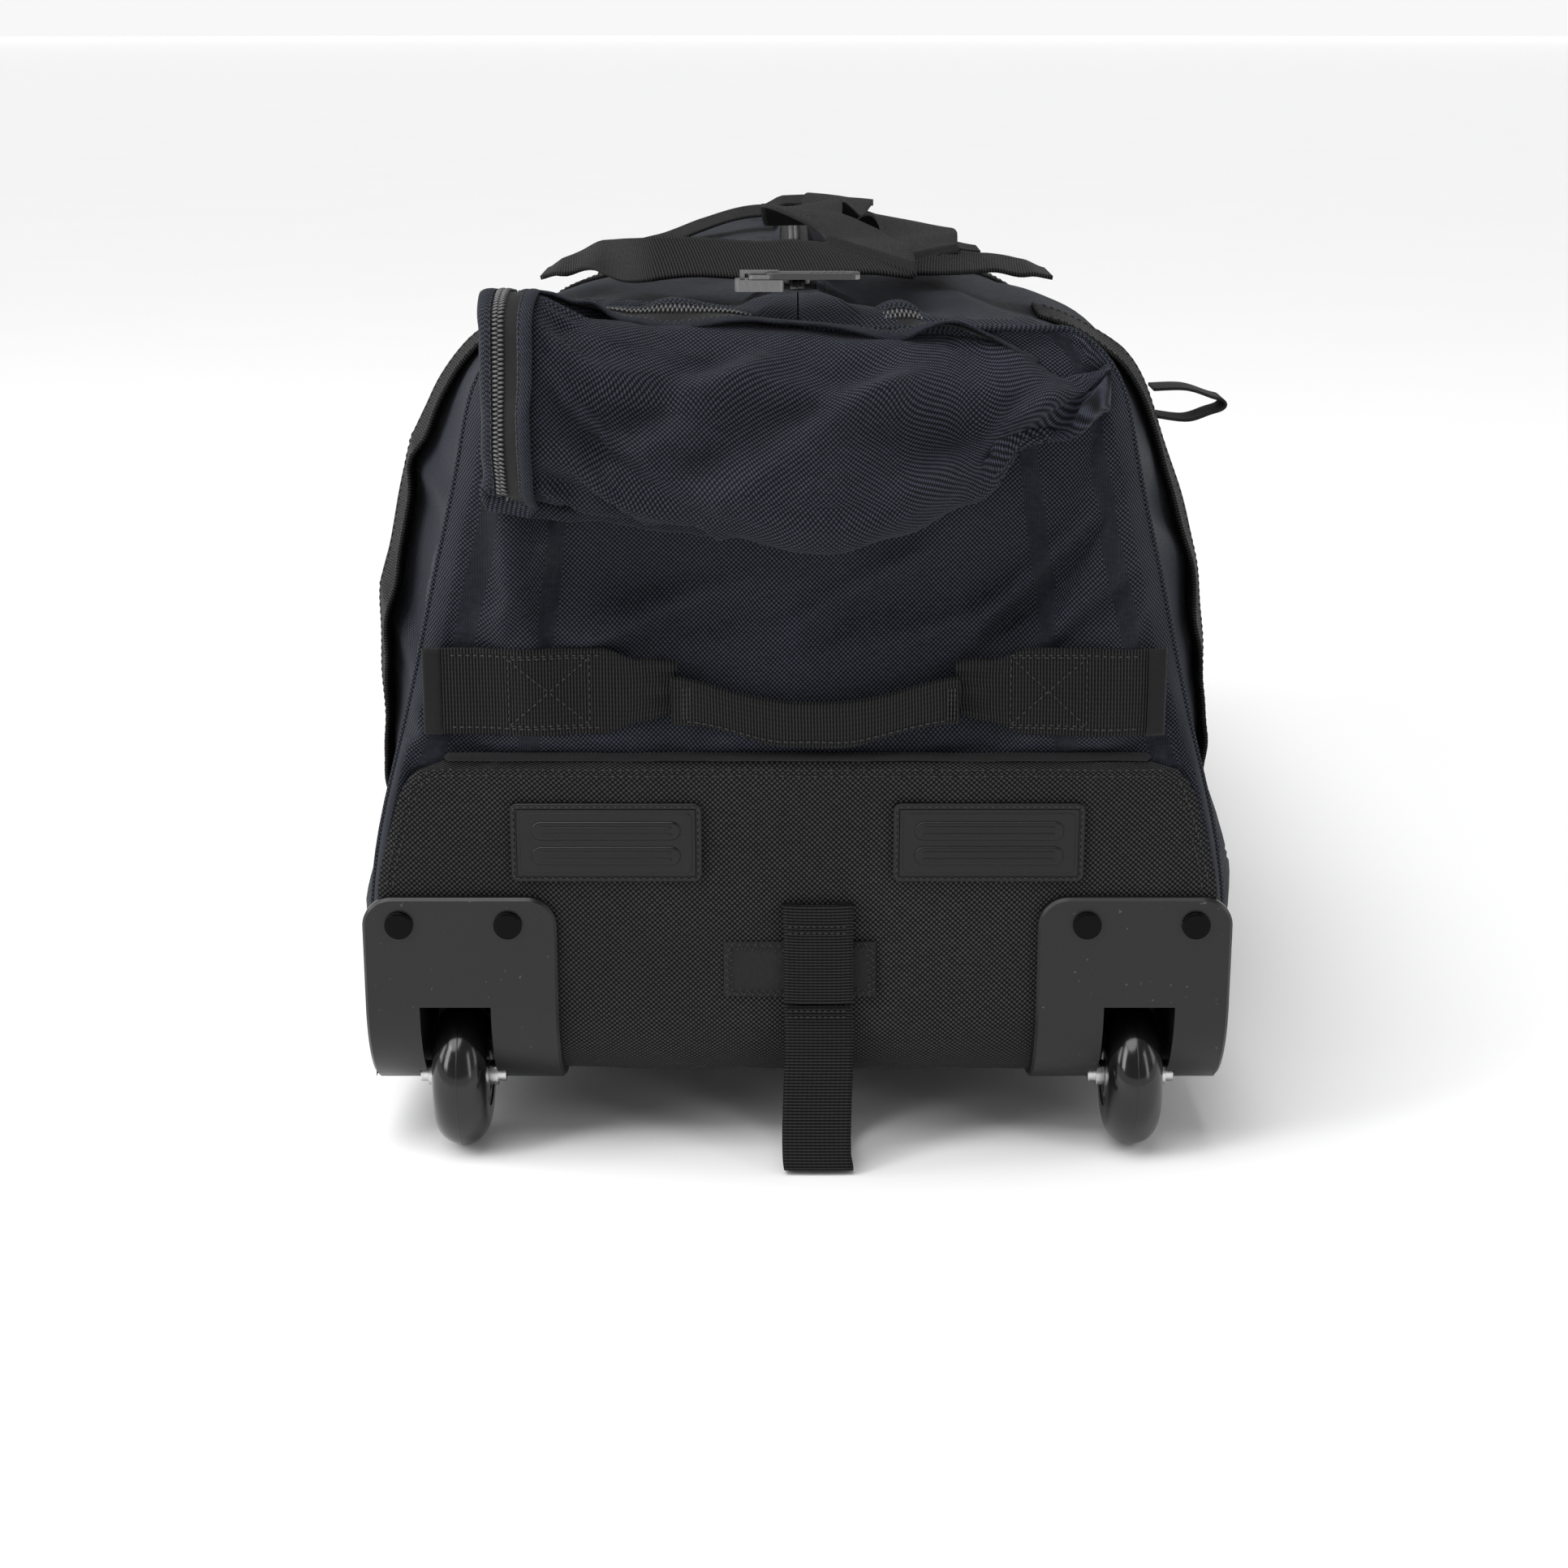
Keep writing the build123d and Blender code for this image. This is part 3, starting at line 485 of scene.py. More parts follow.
def cloth(name, cols, rows, place, material, inside=None, shape=None, thick=0.0, body="bag",
          replaces=()):
    """A grid of cloth; place(s, t) gives each point, shape(point, normal) moves it along its normal."""
    bm = bmesh.new()
    bm.loops.layers.uv.new("metres")
    bmesh.ops.create_grid(bm, x_segments=cols, y_segments=rows, size=0.5, calc_uvs=True)
    bm.verts.ensure_lookup_table()
    for vert in bm.verts:
        vert.co = place(vert.co.x + 0.5, vert.co.y + 0.5)
    wide = cols + 1
    across, along = {}, {}
    for k, vert in enumerate(bm.verts):
        left, below = k - 1, k - wide
        across[k] = across[left] + (vert.co - bm.verts[left].co).length if k % wide else 0.0
        along[k] = along[below] + (vert.co - bm.verts[below].co).length if k >= wide else 0.0
    layer = bm.loops.layers.uv.active
    for face in bm.faces:
        for loop in face.loops:
            k = loop.vert.index
            middle_k = k - k % wide + cols // 2
            loop[layer].uv = (across[k] - across[middle_k], along[k])
    bm.normal_update()
    inside = inside or middle
    if sum(face.normal.dot(face.calc_center_median() - inside) for face in bm.faces) < 0:
        bmesh.ops.reverse_faces(bm, faces=bm.faces[:])
        bm.normal_update()
    if shape:
        moves = [vert.normal * shape(vert.co, vert.normal) for vert in bm.verts]
        for vert, move in zip(bm.verts, moves):
            vert.co += move
    piece = finish_piece(name, bm, material, body, replaces)
    if thick:
        wall = piece.modifiers.new("thickness", "SOLIDIFY")
        wall.thickness = thick
        wall.offset = -1.0
    return piece


# %% [markdown]
# ## Creases and dents
# Cloth that has been packed keeps its folds. A crease is a line with a raised lip on one side, a dent is a
# soft hollow. A handful placed one by one gives each panel its own face. After that a short cloth simulation,
# pinned along the seams, lets the slack buckle by itself, which no formula does as well.


# %% Creases, dents and the simulation
def crease(a, b, width, height, lip=0.5):
    """A fold line from a to b: height up along the line and a shallower fall beside it."""
    a, b = at(*a), at(*b)
    run = b - a
    size = run.length

    def push(point):
        share = (point - a).dot(run) / (size * size)
        if share < -0.15 or share > 1.15:
            return 0.0
        away = (point - a - run * share)
        sideways = run.cross(Vector((0, 1, 0))).normalized().dot(away)
        gap = away.length / (width * mm)
        if gap > 4.0:
            return 0.0
        ends = ease(share, -0.15, 0.25) * (1 - ease(share, 0.75, 1.15))
        ridge = math.exp(-gap * gap)
        off = sideways / (width * mm)
        trough = math.exp(-((off + 1.5) ** 2) - (gap * gap - off ** 2) * 0.5)
        return ends * height * mm * (ridge - lip * trough)
    return push


def dent(centre, radii, depth):
    """A soft hollow; a negative depth is a bulge."""
    centre = at(*centre)

    def push(point):
        away = point - centre
        square = sum((away[k] / (radii[k] * mm)) ** 2 for k in range(3))
        return -depth * mm * math.exp(-square) if square < 9 else 0.0
    return push


def wavy(size, height, seed, stretch=(1, 1, 1)):
    """Slow uneven waves."""
    def push(point):
        where = Vector([point[k] * stretch[k] for k in range(3)]) / (size * mm)
        return noise.noise(where + Vector((seed, 0, 0))) * height * mm
    return push


def together(*pushes):
    """Several pushes as one shape function."""
    return lambda point, normal: sum(push(point) for push in pushes)


def settle(piece, pinned, slack, frames=22, pressure=0.0, weight=0.3, cap=9.0, stiff=6.0):
    """Let the cloth buckle between its pinned points, then keep the result."""
    start = [vert.co.copy() for vert in piece.data.vertices]
    held = piece.vertex_groups.new(name="seams")
    held.add([k for k, spot in enumerate(start) if pinned(spot, k)], 1.0, "REPLACE")
    sim = piece.modifiers.new("settle", "CLOTH")
    rules = sim.settings
    rules.vertex_group_mass = "seams"
    rules.quality = 6
    rules.mass = 0.25
    rules.tension_stiffness = rules.compression_stiffness = rules.shear_stiffness = 18
    rules.bending_stiffness = stiff
    rules.shrink_min = -slack
    rules.use_pressure = pressure != 0
    rules.uniform_pressure_force = pressure
    rules.effector_weights.gravity = weight
    sim.collision_settings.use_collision = False
    sim.point_cache.frame_start = 1
    sim.point_cache.frame_end = frames
    for step in range(1, frames + 1):
        bpy.context.scene.frame_set(step)
    graph = bpy.context.evaluated_depsgraph_get()
    result = piece.evaluated_get(graph).to_mesh()
    for k, vert in enumerate(piece.data.vertices):
        move = result.vertices[k].co - start[k]
        if move.length > cap * mm:
            move = move.normalized() * cap * mm
        vert.co = start[k] + move
    piece.modifiers.remove(sim)
    piece.vertex_groups.remove(held)
    bpy.context.scene.frame_set(1)
    piece.data.update()


def edge_pins(cols, rows, rim=0):
    """The border of a grid."""
    wide = cols + 1
    return lambda spot, k: min(k % wide, cols - k % wide, k // wide, rows - k // wide) <= rim


# %% [markdown]
# ## Side panels
# Each side is one navy panel from the seam above the base up to the main zip. It has a broad hollow near the
# wheel end and long shallow folds where the load has shifted. Rays towards the bag's long axis place it. The
# left side bulges a little further back, where the right one has a shallow hollow.

# %% Side panels
seam_front = face_y + 14 * mm
seam_back = back_y - 14 * mm
zip_low, zip_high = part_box("main_zip_tape")
strip_top = seam_z
axis_z = 190 * mm


def side_place(side, y_from=seam_front, y_to=seam_back, lift=0.0, low_z=None):
    """Where a side panel's point goes: s along the bag, t from the low seam over to the zip."""
    def place(s, t):
        y = y_from + (y_to - y_from) * s
        z_start = low_z if low_z is not None else strip_top
        low = cast(dummy, Vector((side * 0.5, y, z_start + 1 * mm)), (-side, 0, 0),
                   Vector((side * 0.19, y, z_start)))
        slit = (8 * mm * ease(y, zip_low.y - 6 * mm, zip_low.y)
                * (1 - ease(y, zip_high.y, zip_high.y + 6 * mm)))
        x_top = slit + 0.3 * mm
        start_angle = math.atan2(low.z - axis_z, abs(low.x))
        top = cast(dummy, Vector((side * (x_top + 1 * mm), y, 0.6)), (0, 0, -1),
                   Vector((side * x_top, y, top_z)))
        end_angle = math.atan2(top.z - axis_z, x_top)
        angle = start_angle + (end_angle - start_angle) * t
        out = Vector((side * math.cos(angle), 0, math.sin(angle)))
        hit = cast(dummy, Vector((0, y, axis_z)) + out * 0.5, -out)
        if hit is None:
            hit = cast(dummy, Vector((0, y + 0.7 * mm, axis_z)) + out * 0.5, -out,
                       Vector((0, y, axis_z)) + out * 0.18)
        return hit + out * lift
    return place


left_folds = together(
    dent((-200, 95, 220), (95, 75, 105), 12),
    wavy(95, 7, 3.1, (1, 0.7, 1.2)), wavy(38, 2.4, 8.2, (1, 0.6, 1.6)),
    dent((-205, 330, 190), (80, 130, 70), -5), dent((-190, 90, 230), (60, 60, 50), 4),
    crease((-170, 28, 150), (-210, 210, 235), 9, 4), crease((-160, 28, 260), (-185, 220, 300), 8, 3.5),
    crease((-208, 240, 120), (-204, 420, 180), 10, 4), crease((-205, 430, 230), (-190, 600, 290), 10, 4),
    crease((-200, 560, 130), (-180, 780, 210), 9, 4), crease((-180, 620, 300), (-150, 780, 240), 8, 3),
    crease((-100, 90, 365), (-150, 190, 345), 7, 3), crease((-60, 210, 372), (-140, 300, 350), 8, 3.5),
    crease((-150, 340, 350), (-50, 480, 372), 9, 4), crease((-60, 600, 372), (-150, 700, 340), 8, 3))
right_folds = together(
    dent((200, 90, 220), (95, 70, 100), 8),
    wavy(90, 6, 15.7, (1, 0.7, 1.2)), wavy(36, 2.4, 21.4, (1, 0.6, 1.6)),
    dent((205, 300, 160), (80, 150, 60), 4), dent((120, 120, 350), (70, 90, 50), 6),
    crease((150, 28, 300), (195, 200, 230), 9, 4), crease((168, 28, 200), (205, 230, 140), 9, 4),
    crease((200, 240, 260), (206, 400, 190), 10, 4), crease((206, 380, 120), (198, 560, 210), 10, 4),
    crease((190, 560, 280), (185, 780, 180), 9, 4), crease((170, 640, 320), (150, 780, 270), 8, 3),
    crease((60, 100, 370), (140, 200, 340), 7, 3.5), crease((150, 260, 350), (50, 400, 373), 8, 4),
    crease((60, 470, 372), (150, 560, 350), 9, 4))


def faded(push, spread):
    """Folds die out towards the seams, where the cloth is held."""
    def shape(point, normal):
        from_ends = min(point.y - seam_front, seam_back - point.y)
        from_low = point.z - strip_top if abs(point.x) > 0.1 else 1.0
        from_zip = abs(point.x) - 8 * mm if point.z > 0.33 else 1.0
        near = max(min(from_ends, from_low, from_zip), 0.0)
        return push(point, normal) * ease(near, -2 * mm, spread * mm)
    return shape


side_cols, side_rows = 150, 84
sides = {}
for word, side, folds in (("left", -1, left_folds), ("right", 1, right_folds)):
    panel = cloth("side_cloth_" + word, side_cols, side_rows, side_place(side), navy_cloth,
                  shape=faded(folds, 26), replaces=("side_panel_" + word,))
    settle(panel, edge_pins(side_cols, side_rows), 0.022, frames=16, pressure=0.35, cap=7)
    sides[word] = panel
print("side panels", [len(panel.data.vertices) for panel in sides.values()])

# %% [markdown]
# ## Base strips
# A black strip closes each side between the base and the navy cloth. It is almost hidden, but from the side
# it draws the line that makes the bag look as if it stands on a tray.


# %% Base strips
def strip_place(side):
    """Where a base strip's point goes: s along the bag, t upwards."""
    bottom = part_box("base_board")[0].z + 1 * mm

    def place(s, t):
        y = seam_front + (seam_back - seam_front) * s
        z = bottom + (strip_top - bottom) * t
        return cast(dummy, Vector((side * 0.5, y, z)), (-side, 0, 0), Vector((side * 0.186, y, z)))
    return place


for word, side in (("left", -1), ("right", 1)):
    cloth("side_strip_cloth_" + word, 150, 12, strip_place(side), base_cloth,
          shape=together(wavy(60, 2.5, 4.4 + side)), replaces=("side_strip_" + word,))

# %% [markdown]
# ## End panels
# The wheel end is nearly flat, with broad shallow hollows below the pocket and creases where the pocket's
# weight pulls. The far end is plainer. Both start at the seam round their rim.


# %% End panels
base_stations = [(28, 184), (60, 186), (120, 181), (182, 168.5)]


def end_place(facing, seam_y, low_z):
    """Where an end panel's point goes: s across, t upwards; facing is -1 at the wheel end."""
    high_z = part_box("end_panel_wheel")[1].z - 0.5 * mm

    def place(s, t):
        z = low_z + (high_z - low_z) * t
        side = 1 if s > 0.5 else -1
        rim = cast(dummy, Vector((side * 0.5, seam_y + facing * 0.4 * mm, z)), (-side, 0, 0),
                   Vector((side * 0.15, seam_y, z)))
        x = abs(rim.x) * (2 * s - 1) * 0.999
        start = Vector((x, seam_y + facing * 0.5, z))
        hit = cast(dummy, start, (0, -facing, 0), Vector((x, seam_y, z)))
        covered = follow(z / mm, base_stations) * mm - abs(x)
        hidden = ease(covered, 3 * mm, 8 * mm) * (1 - ease(z, base_top_z - 8 * mm, base_top_z - 2 * mm))
        hit.y -= facing * 5 * mm * hidden
        return hit
    return place


def end_faded(push, seam_y):
    """Folds die out at the rim seam."""
    def shape(point, normal):
        rim = 1 - abs(normal.x)
        return 1.3 * push(point, normal) * ease(abs(point.y - seam_y), 1 * mm, 12 * mm) * rim
    return shape


wheel_folds = together(
    wavy(70, 4.5, 31.0, (1.2, 1, 0.8)), wavy(28, 1.6, 33.5),
    dent((-70, 6, 262), (46, 30, 18), 8), dent((-112, 6, 275), (20, 30, 26), -3),
    dent((30, 6, 250), (60, 30, 14), 4),
    dent((95, 6, 262), (34, 30, 24), 5), dent((0, 6, 200), (120, 30, 10), -2),
    crease((-140, 7, 235), (-95, 7, 290), 6, 3.2), crease((-100, 7, 236), (-20, 7, 262), 7, 4, 0.8),
    crease((-10, 7, 240), (60, 7, 275), 6, 3.5, 0.8), crease((70, 7, 236), (128, 7, 292), 5, 4.5, 0.9),
    crease((100, 7, 234), (142, 7, 268), 5, 3.5), crease((40, 7, 236), (105, 7, 258), 5, 2.5),
    crease((-150, 7, 190), (-168, 7, 140), 5, 2), crease((150, 7, 192), (170, 7, 130), 5, 2.5))
tow_folds = together(
    wavy(80, 5, 41.0, (1.2, 1, 0.8)), wavy(30, 1.8, 43.5),
    crease((-130, 800, 250), (-20, 800, 300), 8, 4), crease((20, 800, 220), (130, 800, 290), 8, 4),
    crease((-100, 800, 210), (60, 800, 232), 8, 3), dent((0, 800, 330), (90, 30, 24), 5))
end_cols, end_rows = 104, 84
wheel_end = cloth("end_cloth_wheel", end_cols, end_rows, end_place(-1, seam_front, 62 * mm), navy_cloth,
                  shape=end_faded(wheel_folds, seam_front), replaces=("end_panel_wheel",))
settle(wheel_end, lambda spot, k: edge_pins(end_cols, end_rows)(spot, k) or spot.z < base_top_z - 4 * mm,
       0.025, frames=18, pressure=0.15, cap=6)


def tuck(piece, inward):
    """Behind the base fabric's edge and its piping the panel lies flat again."""
    flat_y = at(0, 6.8, 0).y if inward > 0 else at(0, 801.2, 0).y
    for vert in piece.data.vertices:
        share = ease(vert.co.z, base_top_z - 14 * mm, base_top_z - 6 * mm)
        share *= 1 - ease(vert.co.z, base_top_z + 3 * mm, base_top_z + 11 * mm)
        if share > 0 and (flat_y - vert.co.y) * inward > 0:
            vert.co.y += (flat_y - vert.co.y) * share
    piece.data.update()


tuck(wheel_end, 1)
tow_end = cloth("end_cloth_tow", end_cols, end_rows, end_place(1, seam_back, 62 * mm), navy_cloth,
                shape=end_faded(tow_folds, seam_back), replaces=("end_panel_tow",))
settle(tow_end, lambda spot, k: edge_pins(end_cols, end_rows)(spot, k) or spot.z < base_top_z - 4 * mm,
       0.02, frames=16, pressure=0.15, cap=6)
tuck(tow_end, -1)
print("end panels", len(wheel_end.data.vertices))
wheel_end_tree = tree_of(wheel_end)

# %% [markdown]
# ## Base fabric
# One coarse black piece runs down the wheel end, under the bag and up the far end. It follows a rounded
# profile, so its place function walks along that profile. Openings for the two wheels are cut afterwards,
# behind the moulded housings that hide their edges.

# %% Base fabric
roll = 45 * mm
straight_up = base_top_z - under_z - roll
straight_under = rear_base_y - base_y - 2 * roll
arc = roll * math.pi / 2
base_run = 2 * straight_up + 2 * arc + straight_under


def base_place(s, t):
    """s across, t along the profile from the wheel-end top edge to the far one."""
    walk = base_run * t
    if walk < straight_up:
        y, z = base_y, base_top_z - walk
    elif walk < straight_up + arc:
        turn = (walk - straight_up) / roll
        y, z = base_y + roll - roll * math.cos(turn), under_z + roll - roll * math.sin(turn)
    elif walk < straight_up + arc + straight_under:
        y, z = base_y + roll + walk - straight_up - arc, under_z
    elif walk < straight_up + 2 * arc + straight_under:
        turn = (walk - straight_up - arc - straight_under) / roll
        y, z = rear_base_y - roll + roll * math.sin(turn), under_z + roll - roll * math.cos(turn)
    else:
        y, z = rear_base_y, base_top_z - (base_run - walk)
    half = follow(z / mm, base_stations) * mm
    corner = max(z - (base_top_z - 18 * mm), 0.0)
    half -= 18 * mm - math.sqrt(max((18 * mm) ** 2 - corner ** 2, 0.0))
    return Vector((half * (2 * s - 1), y, z))


base_cols, base_rows = 92, 260
base_folds = together(wavy(55, 1.6, 51.0), wavy(18, 0.5, 52.0), dent((0, 4, 150), (50, 20, 20), 1.5),
                      dent((-40, 4, 110), (30, 20, 16), -1.0), dent((60, 4, 118), (30, 20, 14), 1.0))
base_cover = cloth("base_cover", base_cols, base_rows, base_place, base_cloth,
                   shape=base_folds, thick=2.2 * mm, replaces=("base_fabric",))
wheel_x = (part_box("wheel_tyre_right")[0].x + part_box("wheel_tyre_right")[1].x) / 2
cut = bmesh.new()
cut.from_mesh(base_cover.data)
for side in (-1, 1):
    for edge in (wheel_x - 20 * mm, wheel_x + 20 * mm):
        bmesh.ops.bisect_plane(cut, geom=cut.verts[:] + cut.edges[:] + cut.faces[:], dist=1e-6,
                               plane_co=(side * edge, 0, 0), plane_no=(1, 0, 0))
inside_well = [face for face in cut.faces if abs(abs(face.calc_center_median().x) - wheel_x) < 20 * mm
               and face.calc_center_median().y < plate_y + 72 * mm and face.calc_center_median().z < 82 * mm]
bmesh.ops.delete(cut, geom=inside_well, context="FACES")
cut.to_mesh(base_cover.data)
cut.free()
print("base cover", len(base_cover.data.polygons), "faces")

# %% [markdown]
# ## End pocket
# The flat pocket over the wheel end has been stuffed and has slumped. Its lower edge hangs lowest a little
# right of the middle and rises to the right, and its top slopes down the same way. It is built as a loft: at
# each place across the bag a closed outline runs over the top, down the swollen front and back under. Ridges
# run from the upper right to the lower left, and then the cloth simulation slackens the whole pillow.

# %% Pocket outline
pocket_top_line = [(-128, 376.5), (-95, 377), (-30, 374), (30, 369), (80, 361), (128, 350)]
pocket_low_line = [(-128, 299), (-100, 294), (-40, 287), (15, 277), (40, 283), (70, 299), (105, 319),
                   (128, 331)]
pocket_swell_line = [(-128, 9), (-105, 17), (-40, 24), (20, 29), (75, 24), (128, 10)]


def pocket_point(x, turn):
    """A point of the pocket: x across in mm, turn 0 at the back of the top to 1 under the fold."""
    top = follow(x, pocket_top_line)
    low = follow(x, pocket_low_line)
    swell = follow(x, pocket_swell_line)
    tall = top - low
    outline = [(50, top - 4.5), (38, top - 1), (24, top), (10, top - 1.5), (0, top - 0.09 * tall),
               (-swell * 0.45, top - 0.2 * tall), (-swell * 0.8, top - 0.38 * tall),
               (-swell, top - 0.6 * tall),
               (-swell * 0.95, top - 0.8 * tall), (-swell * 0.6, top - 0.94 * tall), (-swell * 0.12, low),
               (3.6, low + 0.05 * tall), (6.8, low + 0.16 * tall)]
    place = turn * (len(outline) - 1)
    k = min(int(place), len(outline) - 2)
    share = place - k
    before = outline[max(k - 1, 0)]
    after = outline[min(k + 2, len(outline) - 1)]
    result = []
    for p0, p1, p2, p3 in zip(before, outline[k], outline[k + 1], after):
        result.append(0.5 * (2 * p1 + (p2 - p0) * share + (2 * p0 - 5 * p1 + 4 * p2 - p3) * share ** 2
                             + (3 * p1 - p0 - 3 * p2 + p3) * share ** 3))
    return at(x, *result)


def pocket_place(s, t):
    """s across the bag, t up the pocket from under the fold to the back of the top."""
    x = -128 + 256 * s
    spot = pocket_point(x, 1 - t)
    ends = min(s, 1 - s)
    pinch = 1 - ease(ends, 0.0, 0.055)
    spot.y += (at(0, 6.0, 0).y - spot.y) * pinch * pinch * 0.8 * (1 if spot.y < at(0, 6, 0).y else 0)
    return spot


pocket_folds = together(
    wavy(42, 4.0, 61.0, (0.8, 1, 1.3)), wavy(17, 1.2, 62.0, (0.7, 1, 1.5)),
    crease((112, -12, 350), (20, -18, 292), 8, 6.5), crease((60, -12, 362), (-40, -20, 300), 9, 6),
    crease((-6, -10, 366), (-86, -16, 306), 8, 4.5), crease((128, -6, 338), (78, -14, 308), 6, 4.5),
    crease((-100, -14, 352), (60, -14, 345), 7, 3.5, 0.9), crease((-60, -16, 330), (40, -18, 338), 6, 3),
    crease((-112, -14, 318), (-50, -18, 300), 6, 3.5), crease((-110, -12, 306), (-84, -14, 290), 4, 3),
    crease((-70, -14, 306), (-56, -12, 288), 4, 3), crease((-40, -16, 304), (-28, -12, 286), 4, 2.5),
    dent((92, -18, 326), (34, 22, 22), 9), dent((70, -14, 330), (30, 20, 16), 6),
    dent((-20, -18, 318), (40, 20, 14), 4), dent((6, -16, 286), (36, 20, 10), -3),
    crease((-60, 28, 376), (20, 40, 372), 6, 3), crease((100, 10, 356), (30, 30, 370), 6, 3))


def pocket_faded(point, normal):
    """The folds die out at the pocket's seams."""
    near = min(point.x + 128 * mm, 128 * mm - point.x, at(0, 50, 0).y - point.y + 2 * mm)
    return 1.8 * pocket_folds(point, normal) * ease(near, 0, 14 * mm)


pocket_cols, pocket_rows = 112, 74
pocket = cloth("pocket_cloth", pocket_cols, pocket_rows, pocket_place, navy_cloth,
               inside=at(0, 60, 320), shape=pocket_faded, replaces=("end_pocket",))
settle(pocket, lambda spot, k: edge_pins(pocket_cols, pocket_rows)(spot, k) or spot.x < -104 * mm or
       k // (pocket_cols + 1) < 5, 0.035, frames=20, pressure=0.9, weight=0.5, cap=8)
wall = pocket.modifiers.new("thickness", "SOLIDIFY")
wall.thickness = 0.8 * mm
wall.offset = -1.0
print("pocket", len(pocket.data.polygons), "faces")
pocket_tree = tree_of(pocket)

# %% [markdown]
# The pocket's lower edge is gathered into a narrow hem that is stitched down on the end panel. It is
# a separate strip that follows the same line, so that it reads as a folded edge and not as a crease.


# %% Pocket hem
def hem_place(s, t):
    """s across, t upwards over the hem."""
    x = -122 + 132 * s
    low = follow(x, pocket_low_line) - 9 + 4 * ease(s, 0.75, 1.0)
    pucker = 1.6 * noise.noise(Vector((x / 9, 0, 7.7)))
    z = low + 13 * t + pucker
    hit = cast(wheel_end_tree, at(x, -60, z), (0, 1, 0), at(x, 6, z))
    hit.y -= (0.8 + 2.6 * math.sin(math.pi * min(t * 1.2, 1.0)) + 1.0 * pucker * t) * mm
    return hit


cloth("pocket_hem", 90, 8, hem_place, navy_cloth, inside=at(0, 60, 290), thick=0.8 * mm)

# %% [markdown]
# ## Stitches
# Bag seams are sewn with thick bonded thread, and every stitch is a small bar pulled into the cloth. A run
# of stitches is one piece: a tiny rounded body is repeated at an even pitch along a line, and turned to lie
# on the cloth below it.


# %% Stitch helper
def walk(points, pitch):
    """Even steps along a line of points: (place, direction)."""
    steps, carry = [], pitch / 2
    for a, b in zip(points, points[1:]):
        run = b - a
        while carry < run.length:
            steps.append((a + run * (carry / run.length), run.normalized()))
            carry += pitch
        carry -= run.length
    return steps


def stitches(name, lines, body="bag", pitch=3.4, size=(1.25, 0.42, 0.34), host=None, facing=(0, -1, 0),
             sink=0.0, material=None):
    """Runs of stitches along lines; with a host each stitch lands on it along the facing direction."""
    bm = bmesh.new()
    facing = Vector(facing)
    for line in lines:
        for spot, run in walk(line, pitch * mm):
            up = facing
            if host is not None:
                hit, normal, _, _ = host.ray_cast(spot + facing * 40 * mm, -facing)
                if hit is None:
                    continue
                spot, up = hit, normal
            side = up.cross(run).normalized()
            up = run.cross(side).normalized()
            turn = bpy_matrix(run, side, up, spot + up * (size[2] * 0.4 - sink) * mm, size)
            bmesh.ops.create_icosphere(bm, subdivisions=1, radius=1.0, matrix=turn)
    return finish_piece(name, bm, material or thread, body)


def bpy_matrix(run, side, up, spot, size):
    """A matrix that stretches a unit body along three directions, sizes in mm, and puts it at a spot."""
    turn = Matrix((run * size[0] * mm, side * size[1] * mm, up * size[2] * mm)).transposed().to_4x4()
    turn.translation = spot
    return turn


# %% [markdown]
# ## Pocket zip
# The zip runs up the pocket's left edge, curls over the corner and crosses the top. A dark tape carries two
# rows of coil turns that interlock in the middle. Each turn is a small rounded body laid across the tape,
# shifted by half a pitch from one side to the other, which is how a real coil meshes.

# %% Pocket zip route
zip_x = (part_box("pocket_zip_tab")[0].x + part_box("pocket_zip_tab")[1].x) / 2 / mm


def on_pocket(x, turn, lift=0.0):
    """A point lifted off the pocket's skin."""
    spot = pocket_point(x, turn)
    ahead = pocket_point(x, min(turn + 0.01, 1.0)) - pocket_point(x, max(turn - 0.01, 0.0))
    normal = Vector((0, ahead.z, -ahead.y)).normalized()
    if normal.y > 0 and normal.z < 0:
        normal = -normal
    hit = pocket_tree.ray_cast(spot - normal * -30 * mm, -normal)[0]
    if hit is None or (hit - spot).length > 12 * mm:
        hit = spot
    return hit + normal * lift * mm, normal


def zip_route():
    """Centre line of the pocket zip, from the foot of the left edge to the end of the top edge."""
    line = []
    for k in range(56):
        turn = 0.93 - (0.93 - 0.17) * k / 55
        line.append(on_pocket(zip_x, turn, 0.6)[0])
    corner = 9
    for k in range(1, 9):
        angle = math.pi / 2 * k / 8
        line.append(on_pocket(zip_x + corner * (1 - math.cos(angle)), 0.17 - 0.012 * math.sin(angle), 0.6)[0])
    for k in range(1, 76):
        line.append(on_pocket(zip_x + corner + (100 - zip_x - corner) * k / 75, 0.158, 0.6)[0])
    return line


def even(line, count):
    """The line with evenly spaced, smoothed points."""
    for _ in range(6):
        line = [line[0]] + [(a + b * 2 + c) / 4 for a, b, c in zip(line, line[1:], line[2:])] + [line[-1]]
    total = sum((b - a).length for a, b in zip(line, line[1:]))
    steps = walk(line, total / count)
    return [spot for spot, _ in steps]


zip_line = even(zip_route(), 170)


def offset_line(line, ups, aside, lift):
    """The line moved sideways and up."""
    moved = []
    for k, spot in enumerate(line):
        run = (line[min(k + 1, len(line) - 1)] - line[max(k - 1, 0)]).normalized()
        side = run.cross(ups[k]).normalized()
        moved.append(spot + side * aside * mm + ups[k] * lift * mm)
    return moved


